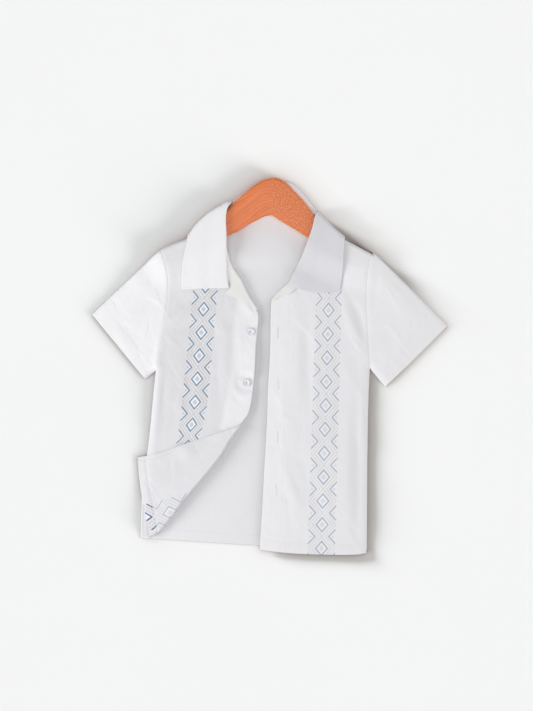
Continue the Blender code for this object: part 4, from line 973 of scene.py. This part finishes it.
# %% Collar
STATION_STEPS, COLLAR_EVERY = 24, 3
LEFT_END_DIP = [(0, 0), (0.1, 6.5), (0.26, 9.3), (0.5, 9.8), (0.8, 5.0), (1, 0)]
DIP_FADE, ROLL_PUFF, COLLAR_ROLL, ROLL_THIN = 26.0, 2.3, 4.5, 0.6
LEAF_ABOVE, STAND_ABOVE, EDGE_SETTLES, EDGE_LIFTS = 1.5, LAYER + 0.6, 0.7, 2.4
STAND_FROM_WOOD, LEAF_FROM_WOOD, WOOD_REACH, WOOD_TOP = 1.2, 2.8, 7.0, 0.5
LAPEL_FROM, LAPEL_TO = 182.0, 170.0
LEAF_STRIPS, LEAF_EDGE_STRIP, LEAF_PROBES, STAND_STEPS, ROLL_TURNS = 20, 1.5, 240, 8, 13
STRIP_GROWS, STRIP_MOST, CROSSING_LEAST, TURN_ROOM = 0.6, 0.15, 0.06, (0.15, 0.3)
LEAF_STARTS, RISE_FADE, LIFT_FROM, LIFT_OVER, SETTLE_FROM, SETTLE_OVER = 2.2, 2.2, 8, 30, 0.55, 0.45
ON_FRONT_TILT, SEAM_CLIMB_TILT = np.radians((100, 160)), np.radians((75, 110))


def beyond_collar(points):
    """Distance inside the collar's outline, negative outside it, and the nearest point on it."""
    gap, foot, left = nearest(points, COLLAR_EDGE)
    return np.where(left, -gap, gap), foot


def leaf_surface(points, rise=0.0):
    """Over the fronts one layer higher, down a quarter ellipse at the outline, mirrored in it once past it."""
    gap, foot = beyond_collar(points)
    top = plateau(points) + LEAF_ABOVE + rise
    inside = FLOOR_MID + (top - FLOOR_MID) * rounded(np.maximum(gap, 0), COLLAR_ROLL)
    plan = np.where(gap[..., None] > 0, points, 2 * foot - points)
    return with_height(plan, np.where(gap > 0, inside, FLOOR_MID))


def leaf_steps(start, out, first, reach):
    """Distances along one section, sine-spaced where it turns down over the shoulder."""
    fine = np.linspace(first, reach, LEAF_PROBES)
    gap = beyond_collar(start + out * fine[:, None])[0]
    crossing = reach - min(LEAF_EDGE_STRIP + STRIP_GROWS * max(gap[-1], 0), STRIP_MOST * reach)
    turn = crossing - COLLAR_ROLL
    if gap[-1] < 0:
        crossing = np.clip(np.interp(0, -gap, fine), first + CROSSING_LEAST * reach, crossing)
    if gap[-1] < COLLAR_ROLL < gap[0]:
        turn = np.interp(-COLLAR_ROLL, -gap, fine)
    room = crossing - first
    turn = np.clip(turn, first + TURN_ROOM[0] * room, crossing - TURN_ROOM[1] * room)
    bend = turn + (crossing - turn) * np.sin(np.linspace(0, np.pi / 2, LEAF_STRIPS))
    before = np.linspace(first, turn, LEAF_STRIPS + 1)[1:-1]
    return np.concatenate([before, bend, np.linspace(crossing, reach, LEAF_STRIPS // 2)[1:]])


def clear_of_wood(points, distances):
    """Cloth beside an arm of the hanger moved straight out of it to its column's distance."""
    for arm in (RIGHT_ARM, LEFT_ARM):
        edge = smooth_line([row[:2] for row in arm])
        gap, foot, left = nearest(points[..., :2], edge)
        outside = left if edge[-1, 0] > edge[0, 0] else ~left
        signed = np.where(outside, gap, -gap)
        way = (points[..., :2] - foot) * np.where(outside, 1, -1)[..., None] / np.maximum(gap, 1e-6)[..., None]
        low, high = HANGER_LOW - LAYER / 2, HANGER_LOW + HANGER_THICK + WOOD_TOP
        beside = (points[..., 2] > low) & (points[..., 2] < high) & (signed < distances) & (signed > -WOOD_REACH)
        points[..., :2] = np.where(beside[..., None], foot + way * distances[:, None], points[..., :2])
    return points


def collar_points():
    """For each section: up the band, round the roll by half a turn, out along the leaf."""
    table = smooth_line([tuple(row) for row in COLLAR], per_span=STATION_STEPS)[::COLLAR_EVERY]
    seam, roll, tilt, radius, edge = table[:, :2], table[:, 2:4], np.radians(table[:, 4]), table[:, 5], table[:, 6:]
    on_front = ease((tilt - ON_FRONT_TILT[0]) / np.ptp(ON_FRONT_TILT))
    radius = radius * (1 - (1 - ROLL_THIN) * on_front)
    out = edge - roll
    reach = norm(out)
    out /= reach[:, None]
    over_lapel = STAND_ABOVE * ease((LAPEL_FROM - seam[:, 1]) / (LAPEL_FROM - LAPEL_TO)) * (seam[:, 0] < 0)
    low, high = back_mid(seam[:, 1]), front_height(seam) + over_lapel
    seam_z = low + (high - low) * ease((tilt - SEAM_CLIMB_TILT[0]) / np.ptp(SEAM_CLIMB_TILT))
    beside_roll = leaf_surface(roll + out * (radius + 1)[:, None])[:, 2]
    crest = beside_roll + ROLL_PUFF * on_front + np.cos(tilt) * radius
    tip = np.stack([out[:, 0] * np.cos(tilt), out[:, 1] * np.cos(tilt), np.sin(tilt)], axis=1)
    side = np.stack([out[:, 0] * np.sin(tilt), out[:, 1] * np.sin(tilt), -np.cos(tilt)], axis=1)
    centre = with_height(roll - tip[:, :2] * radius[:, None], crest)
    seam_spot, start = with_height(seam, seam_z), centre - side * radius[:, None]
    columns = [seam_spot + (start - seam_spot) * t for t in np.linspace(0, 1, STAND_STEPS, endpoint=False)]
    columns += [centre + radius[:, None] * (tip * math.cos(a) + side * math.sin(a))
                for a in np.radians(np.linspace(-90, 90, ROLL_TURNS))]
    rise = columns[-1][:, 2] - beside_roll
    steps = np.array([leaf_steps(r, o, LEAF_STARTS * w, far) for r, o, w, far in zip(roll, out, radius, reach)])
    plan = roll[:, None] + out[:, None] * steps[..., None]
    from_end = lengths(roll)[-1] - lengths(roll)
    dip = np.interp(steps / reach[:, None], *zip(*LEFT_END_DIP))
    plan[..., 1] -= dip * (1 - ease(from_end / DIP_FADE))[:, None]
    at_edge = np.where(seam[:, 0] < 0, EDGE_SETTLES, -EDGE_LIFTS * ease((from_end - LIFT_FROM) / LIFT_OVER))[:, None]
    settle = at_edge * on_front[:, None] * ease((steps / reach[:, None] - SETTLE_FROM) / SETTLE_OVER)
    fade = 1 - ease(RISE_FADE * steps / reach[:, None])
    leaf = leaf_surface(plan, (rise * on_front)[:, None] * fade - settle)
    points = np.concatenate([np.stack(columns, axis=1), leaf], axis=1)
    points[..., 2] = np.maximum(points[..., 2], FLOOR_MID)
    from_wood = np.interp(np.arange(points.shape[1]), [STAND_STEPS + 2, STAND_STEPS + ROLL_TURNS - 1],
                          [STAND_FROM_WOOD, LEAF_FROM_WOOD])
    return clear_of_wood(points, from_wood)


collar = collar_points()
cloth_piece("shirt_collar", collar, collar[..., :2], [cotton_collar], ["collar"])

# %% [markdown]
# ## Lapels
# Below the collar the front edge turns out and shows its facing, right side up. Each facing comes from under the
# front, rolls round its edge and lies on it.

# %% Facings
FACING_RADIUS, FACING_UNDER, FACING_ABOVE, FACING_LEAST = 1.8, 6.5, 0.1, 0.8
FACING_ROWS, FACING_TURNS, FACING_SPREAD = 70, 12, 26


def facing_points(roll_line, outer_line):
    """Columns: under the front, half a turn about its edge, then level above it to the outer edge."""
    share, radius = np.linspace(0, 1, FACING_ROWS), FACING_RADIUS
    edge, outer = along(smooth_line(roll_line), share), along(smooth_line(outer_line), share)
    width = norm(outer - edge)
    way = (outer - edge) / width[:, None]
    base = front_height(edge + way * FACING_UNDER / 2)
    columns = [with_height(edge + way * d, base - radius) for d in np.linspace(FACING_UNDER, radius, 6)]
    for a in np.radians(np.linspace(-90, 90, FACING_TURNS))[1:]:
        columns.append(with_height(edge + way * (radius - radius * math.cos(a)), base + radius * math.sin(a)))
    for part in np.linspace(0, 1, FACING_SPREAD)[1:]:
        spot = edge + way * (radius + np.maximum(width - radius, FACING_LEAST) * part)[:, None]
        height = front_height(spot) + LAYER + (radius - LAYER) * (1 - part) + FACING_ABOVE
        columns.append(with_height(spot, height))
    return np.stack(columns, axis=1)


for side_name, roll_line, outer_line in (("right", RIGHT_LAPEL_ROLL, RIGHT_LAPEL_EDGE),
                                         ("left", LEFT_LAPEL_ROLL, LEFT_LAPEL_EDGE)):
    facing = facing_points(roll_line, outer_line)
    cloth_piece("shirt_facing_" + side_name, facing, facing[..., :2], [cotton_smooth], ["facing_" + side_name])

# %% [markdown]
# ## Buttons
# Shirt buttons are turned discs with a raised rim and four holes. The CAD solids have that shape, so they stay and
# get a moulded, slightly pearly plastic.

# %% Button plastic
def make_plastic(name):
    """White plastic with faint clouds in its colour and a smooth coat."""
    material, tree, sockets = new_material(name, Roughness=0.28, Coat_Weight=0.3, Coat_Roughness=0.15)
    spot = node(tree, "ShaderNodeTexCoord").outputs["Object"]
    cloud = noise(tree, spot, 220.0, 2.0)[0]
    tree.links.new(mixed(tree, cloud, (0.66, 0.66, 0.74, 1), (0.80, 0.80, 0.86, 1)), sockets["Base Color"])
    return material


plastic = make_plastic("button_plastic")
for number in range(1, 5):
    for material_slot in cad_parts[f"button_{number}"].material_slots:
        material_slot.material = plastic

# %% [markdown]
# ## Thread: buttonholes, button crosses and stitches
# A buttonhole is a slit with dense stitches round it, so it is a flat ribbed ring. Each button is held by two short
# bars of thread across its holes. Rows of small dashes are the stitches of the hems: one dash is a short thread with
# rounded ends, and a whole row of them is placed at once, each turned along the row.

# %% Thread material
def make_thread(name, colour):
    """Twisted thread: fine bands across, in colour and as a bump."""
    material, tree, sockets = new_material(name, Roughness=0.6, Sheen_Weight=0.2)
    spot = node(tree, "ShaderNodeTexCoord").outputs["Object"]
    twist = noise(tree, spot, 2600.0, 1.0)[0]
    darker = tuple(0.86 * c for c in colour[:3]) + (1,)
    tree.links.new(mixed(tree, twist, darker, colour), sockets["Base Color"])
    relief(tree, sockets, twist, 0.3, 0.0001)
    return material


thread = make_thread("white_thread", (0.86, 0.86, 0.88, 1))
# The grey strip in each buttonhole's slit is painted shade in the cut, made with the thread's bands
slit_shade = make_thread("buttonhole_slit_shade", (0.55, 0.54, 0.56, 1))


def thread_piece(name, points, faces, material=thread):
    declare(new_piece(name, points, faces, [material]), "white_cotton")


# %% Buttonholes
BUTTONHOLES = [(10, 46), (11, -24), (10, -96), (8, -167)]
HOLE_LONG, HOLE_WIDE, HOLE_RIM, HOLE_TILT = 14.0, 0.85, 0.7, math.radians(2.5)
HOLE_STEPS, HOLE_SIDES, HOLE_RIBS, RIB_SHARE = 120, 10, 30, 0.10
RIM_ABOVE, RIM_HIGH, SLIT_ABOVE, SLIT_HALF = SHELL / 2 + 0.42, 0.30, SHELL / 2 + 0.36, 0.28
HOLE_TURN = np.array([[math.cos(HOLE_TILT), math.sin(HOLE_TILT)], [-math.sin(HOLE_TILT), math.cos(HOLE_TILT)]])


def buttonhole(name, x, y):
    """Ring: a long oval path carries a flat oval section, ribbed along the path by a cosine. The slit is a grey strip:
    painted shade in the cut.
    """
    t, a = circle(HOLE_STEPS)[:, None], circle(HOLE_SIDES)[None]
    straight = (HOLE_LONG - 2 * HOLE_WIDE) / 2
    rib = 1 + RIB_SHARE * np.cos(HOLE_RIBS * t)
    ring_x = HOLE_WIDE * np.cos(t) + HOLE_RIM * rib * np.cos(t) * np.cos(a)
    ring_y = HOLE_WIDE * np.sin(t) + straight * np.clip(3 * np.sin(t), -1, 1) + HOLE_RIM * rib * np.sin(t) * np.cos(a)
    plan = np.stack([ring_x, ring_y], axis=-1) @ HOLE_TURN + [x, y]
    under = front_height(np.broadcast_to(plan.mean(1, keepdims=True), plan.shape))
    faces = grid_faces(HOLE_STEPS + 1, HOLE_SIDES, closed=True) % (HOLE_STEPS * HOLE_SIDES)
    thread_piece(name, with_height(plan, under + RIM_ABOVE + RIM_HIGH * rib * np.sin(a)), faces)
    slit = np.stack(np.meshgrid(np.linspace(-SLIT_HALF, SLIT_HALF, 2), np.linspace(-straight, straight, 12)), axis=-1)
    slit = slit @ HOLE_TURN + [x, y]
    thread_piece(name + "_slit", with_height(slit, front_height(slit) + SLIT_ABOVE), grid_faces(12, 2), slit_shade)


for number, (hole_x, hole_y) in enumerate(BUTTONHOLES, start=1):
    buttonhole(f"buttonhole_{number}", hole_x, hole_y)

# %% Stitches
DASH_SIDES, DASH_RINGS = 6, 5
DASH_LONG, DASH_RADIUS, DASH_PITCH = 2.3, 0.22, 3.1
THREAD_LIES, TANGENT_STEP, DASH_END = 0.08, 0.004, 0.05


def dashes(name, line):
    """Along the line, one spindle a pitch: rings of radius r sin(angle) on the tangent, the same for every dash."""
    count = max(int(lengths(line)[-1] / DASH_PITCH), 1)
    share = (np.arange(count) + 0.5) / count
    spot = along(line, share)
    way = along(line, np.clip(share + TANGENT_STEP, 0, 1)) - along(line, np.clip(share - TANGENT_STEP, 0, 1))
    way /= norm(way)[:, None]
    side = np.cross(way, [0, 0, 1.0])
    side /= norm(side)[:, None]
    ring = np.linspace(0, np.pi, DASH_RINGS)
    turn = circle(DASH_SIDES)
    reach = -np.cos(ring) * DASH_LONG / 2
    wide = (DASH_RADIUS * np.sqrt(np.maximum(np.sin(ring), DASH_END)))[:, None]
    way, side, up = (v[:, None, None] for v in (way, side, np.cross(side, way)))
    points = (spot[:, None, None] + way * reach[None, :, None, None] + side * (wide * np.cos(turn))[None, ..., None]
              + up * (wide * np.sin(turn))[None, ..., None])
    one = grid_faces(DASH_RINGS, DASH_SIDES, closed=True)
    faces = (one[None] + (np.arange(count) * DASH_RINGS * DASH_SIDES)[:, None, None]).reshape(-1, 4)
    thread_piece(name, points, faces)
    print(name, count, "stitches")


def row_at(grid, from_edge):
    """The grid's row that lies this far from its last one, at the middle column, as a path just above the cloth."""
    middle = grid[:, grid.shape[1] // 2, :2]
    row = int(np.argmin(np.abs(norm(middle - middle[-1]) - from_edge)))
    return grid[row] + [0, 0, SHELL / 2 + THREAD_LIES]


dashes("stitches_hem_left", row_at(left_front, HEM_WIDTH)[6:])
dashes("stitches_hem_corner", strip[4:-8, -7] + [0, 0, STRIP_THICK / 2 + THREAD_LIES])
dashes("stitches_hem_back", row_at(back, BACK_HEM_WIDTH)[4:-4])
for side_name, ring in SLEEVE_GRIDS.items():
    dashes("stitches_sleeve_" + side_name, row_at(ring[:, :SLEEVE_OVER], SLEEVE_HEM)[4:-3])

# %% Thread across the buttons
THREAD_HOLE_OFFSET, BUTTON_BELOW, BUTTON_THICK = 1.5, 0.3, 2.4
BAR_STEPS, BAR_SIDES, BAR_ABOVE, BAR_RISE, BAR_DIP, BAR_HALF_WIDE, BAR_HALF_HIGH = 12, 8, 0.45, 0.30, 0.5, 0.34, 0.24


def button_thread(name, x, y):
    """Two bars, each an arch between two holes: height is a half sine of the way across."""
    spot = np.array([x, y], float)
    slope = [(front_height(spot + d) - front_height(spot - d)) / 2 for d in np.eye(2)]
    button_middle = float(front_height(spot)) + (CLOTH / 2 + BUTTON_BELOW + BUTTON_THICK / 2)
    t = np.linspace(0, 1, BAR_STEPS)[:, None]
    a = circle(BAR_SIDES)[None]
    half = THREAD_HOLE_OFFSET * math.sqrt(0.5)
    rise = BAR_RISE * np.sin(np.pi * t) - BAR_DIP * np.abs(2 * t - 1) ** 6
    bars = []
    for offset in (-half, half):
        px, py = (2 * t - 1) * half + 0 * a, offset + BAR_HALF_WIDE * np.cos(a) + 0 * t
        pz = rise + BAR_HALF_HIGH * np.sin(a) + slope[0] * px + slope[1] * py
        bars.append(np.stack([px, py, pz], axis=-1) + [x, y, button_middle + BAR_ABOVE])
    one = grid_faces(BAR_STEPS, BAR_SIDES, closed=True)
    thread_piece(name, np.stack(bars), np.concatenate([one, one + BAR_STEPS * BAR_SIDES]))


for number, (button_x, button_y) in enumerate(BUTTONS_ON_TOP, start=1):
    button_thread(f"button_thread_{number}", button_x, button_y)

# %% [markdown]
# ## Hanger
# The hanger is two flat arms of solid wood, rounded at their edges and glued at the middle. A rounded section is
# carried along each arm. The UV map runs along the wood in one direction, so that the grain does too.

# %% Hanger arms
SECTION_TURNS, ARM_SPAN_STEPS, THIN_BELOW, CORNER_SHARE = 48, 8, 6.5, 0.75


def arm_points(arm):
    """Section: a superellipse-like box with round corners, scaled to the arm's width and thickness at each station."""
    rows = smooth_line([tuple(row) for row in arm], per_span=ARM_SPAN_STEPS)
    middle = (rows[:, :2] + rows[:, 2:]) / 2
    way = (rows[:, :2] - rows[:, 2:]) / 2
    half = norm(way)
    way = way / half[:, None]
    thick = HANGER_THICK / 2 * np.minimum(1.0, np.sqrt(half / THIN_BELOW))
    corner = CORNER_SHARE * np.minimum(thick, half)
    turns = circle(SECTION_TURNS) + np.pi / SECTION_TURNS
    across, up = (np.copysign((size - corner)[:, None], wave) + corner[:, None] * wave
                  for size, wave in ((half, np.cos(turns)), (thick, np.sin(turns))))
    points = with_height(middle[:, None] + way[:, None] * across[..., None], HANGER_MID + up)
    cut = np.stack([np.broadcast_to(lengths(middle)[:, None], across.shape), across], axis=-1)
    return points, cut


def arm_piece(name, arm, material, replaced, turned):
    """The arm's skin with a flat end at both sides, kept sharp along the ends' edges."""
    points, cut = arm_points(arm)
    rows, cols = points.shape[:2]
    faces = grid_faces(rows, cols, closed=True, turned=turned)
    obj = new_piece(name, points, faces, [material], cut)
    bm = bmesh.new()
    bm.from_mesh(obj.data)
    bm.verts.ensure_lookup_table()
    for ring in (range(cols), range((rows - 1) * cols, rows * cols)):
        end = bm.faces.new([bm.verts[k] for k in ring])
        for edge in end.edges:
            edge.smooth = False
    bmesh.ops.recalc_face_normals(bm, faces=bm.faces)
    bm.to_mesh(obj.data)
    bm.free()
    declare(obj, "hanger_wood", replaced)
    print(name, len(faces), "cells")


# %% Wood
GRAIN_BEND, FLECKS, FLECK_FROM, RAMP_ENDS = (0.010, 0.010, 0.010), 0.45, 0.58, (0.32, 0.68)


def make_wood(name, light, mid, dark, grain_scale, fleck_scale):
    """Grain: noise stretched along the arm, bent by slower noise, over short dark flecks."""
    material, tree, sockets = new_material(name, Roughness=0.42, Coat_Weight=0.25, Coat_Roughness=0.3)
    uv = node(tree, "ShaderNodeUVMap", uv_map="cut").outputs[0]
    bent = vector_maths(tree, "MULTIPLY", noise(tree, uv, 30.0, 2.0)[1], GRAIN_BEND)
    place = vector_maths(tree, "ADD", uv, bent)
    stretched = node(tree, "ShaderNodeMapping", (place, None, None, (*grain_scale, 1.0))).outputs[0]
    grain = noise(tree, stretched, 1.0, 4.0, 0.6)[0]
    short = node(tree, "ShaderNodeMapping", (uv, None, None, (*fleck_scale, 1.0))).outputs[0]
    flecks = noise(tree, short, 1.0, 2.0)[0].between(FLECK_FROM, 2.0, 0.12)
    ramp = node(tree, "ShaderNodeValToRGB", (grain,))
    for end, position, colour in zip(ramp.color_ramp.elements, RAMP_ENDS, (dark, light)):
        end.position, end.color = position, colour
    ramp.color_ramp.elements.new(0.5).color = mid
    tree.links.new(mixed(tree, flecks * FLECKS, ramp.outputs[0], dark), sockets["Base Color"])
    relief(tree, sockets, grain, 0.25, 0.0003)
    return material


wood_right = make_wood("hanger_wood_fine", (0.87, 0.262, 0.08, 1), (0.74, 0.188, 0.052, 1), (0.55, 0.115, 0.029, 1),
                       (9.0, 620.0), (60.0, 1500.0))
wood_left = make_wood("hanger_wood_mottled", (0.88, 0.335, 0.12, 1), (0.70, 0.175, 0.047, 1), (0.54, 0.115, 0.028, 1),
                      (420.0, 700.0), (260.0, 900.0))
arm_piece("hanger_arm_right", RIGHT_ARM, wood_right, "hanger_right", True)
arm_piece("hanger_arm_left", LEFT_ARM, wood_left, "hanger_left", False)

# %% [markdown]
# ## Sheets
# Each cloth piece prints how large it was cut, and its area. Each cloth piece says how large it was cut, so that the
# part can be told from a solid block. The sizes are measured along the cloth, over its folds and rolls.

# %% [markdown]
# ## Floor, light and camera
# The shirt lies on a plain white surface. Two low lights from its right side and one from the lower left throw the
# soft shadows beside it and above it, so they shine on the surface alone; close to the shirt the surface's colour
# also carries a painted contact shadow. The cloth has its own light: a wide window on its right side, which draws
# out the creases, and weak suns from the other sides and from above that fill them. The camera looks straight down.

# %% Floor
# The floor's colour turns to a warm dark tint close to the shirt: a painted contact shadow, by ambient occlusion
FLOOR_CONTACT, CONTACT_POWER, CONTACT_SHADOW_TINT = 0.042, 1.3, (0.17, 0.07, 0.02, 1)
FLOOR_HALF = 3.0


def make_floor():
    """White paper with the faintest unevenness, and a painted contact shadow: warmer and darker close to what lies on
    it.
    """
    material, tree, sockets = new_material("floor_white", Roughness=0.9, Specular_IOR_Level=0.1)
    spot = node(tree, "ShaderNodeTexCoord").outputs["Object"]
    paper = mixed(tree, noise(tree, spot, 3.0, 2.0)[0], (0.905, 0.905, 0.905, 1), (0.92, 0.92, 0.92, 1))
    corner = node(tree, "ShaderNodeAmbientOcclusion", (None, FLOOR_CONTACT), samples=12).outputs[1]
    open_sky = Term(tree, corner).maths("POWER", CONTACT_POWER)
    tree.links.new(mixed(tree, open_sky, CONTACT_SHADOW_TINT, paper), sockets["Base Color"])
    mesh = bpy.data.meshes.new("floor")
    corners = [(x * FLOOR_HALF, y * FLOOR_HALF, 0) for x, y in ((-1, -1), (1, -1), (1, 1), (-1, 1))]
    mesh.from_pydata(corners, [], [(0, 1, 2, 3)])
    mesh.materials.append(material)
    add_object("floor", mesh)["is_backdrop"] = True


make_floor()


# %% Lights
def add_light(kind, name, place, power, colour, receivers, blockers=None, **settings):
    """A light at the place, turned to the shirt's middle, for the receivers only and stopped by the blockers only."""
    data = bpy.data.lights.new(name, kind)
    data.energy, data.color = power, colour
    for key, value in settings.items():
        setattr(data, key, value)
    obj = add_object(name, data, place)
    obj.rotation_euler = (-obj.location).to_track_quat("-Z", "Y").to_euler()
    obj.light_linking.receiver_collection = receivers
    if blockers:
        obj.light_linking.blocker_collection = blockers


def linked_group(name, pieces):
    group = bpy.data.collections.new(name)
    for piece in pieces:
        group.objects.link(piece)
    return group


FLOOR_ONLY = linked_group("floor_light_receives", [bpy.data.objects["floor"]])
CLOTH_ONLY = linked_group("shirt_light_receives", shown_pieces())
SHIRT_BLOCKS = linked_group("shirt_stops_window_light", [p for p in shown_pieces() if not p.name.startswith("hanger")])
LOW_BLOCKS = linked_group("left_front_stops_light", [bpy.data.objects["shirt_front_left"]])
for name, place, spread, power, colour, receivers, blockers in (
        ("low_left", (-1.3, 0.72, 0.26), 12.0, 8.2, (0.93, 0.975, 1.0), FLOOR_ONLY, LOW_BLOCKS),
        ("left", (-1.3, -0.30, 0.45), 20.0, 1.4, (0.955, 0.985, 1.0), FLOOR_ONLY, SHIRT_BLOCKS),
        ("low_right", (1.15, -0.75, 0.36), 22.0, 2.9, (1.0, 0.98, 0.95), FLOOR_ONLY, None),
        ("fill", (1.0, -0.9, 0.55), 40.0, 1.0, (1.0, 1.0, 1.0), CLOTH_ONLY, None),
        ("rim", (1.0, 0.9, 0.30), 30.0, 0.8, (1.0, 0.97, 0.95), CLOTH_ONLY, None),
        ("ceiling", (0.1, -0.3, 2.0), 60.0, 1.09, (0.975, 0.985, 1.0), CLOTH_ONLY, None)):
    add_light("SUN", name, place, power, colour, receivers, blockers, angle=math.radians(spread))
add_light("AREA", "window", (-1.9, -0.35, 0.95), 34.0, (1.0, 1.0, 1.0), CLOTH_ONLY, SHIRT_BLOCKS, shape="DISK",
          size=1.2)

# %% World
world = bpy.data.worlds.new("studio")
world.use_nodes = True
sky = world.node_tree.nodes["Background"].inputs
sky["Color"].default_value, sky["Strength"].default_value = (1.0, 0.95, 0.895, 1), 0.21
bpy.context.scene.world = world
bpy.context.scene.view_settings.view_transform = "Standard"

# %% Camera
VIEW_CENTRE = (-0.0048, 0.0150)
VIEW_HEIGHT, VIEW_LEVEL = 0.967, 0.005
LENS, SENSOR = 85.0, 36.0
camera_data = bpy.data.cameras.new("camera")
camera_data.lens, camera_data.sensor_width, camera_data.sensor_height = LENS, SENSOR, SENSOR
camera_data.sensor_fit = "VERTICAL"
camera = add_object("camera", camera_data, (*VIEW_CENTRE, VIEW_HEIGHT * LENS / SENSOR + VIEW_LEVEL))
bpy.context.scene.camera = camera
print("camera height", round(camera.location.z, 3), "m")
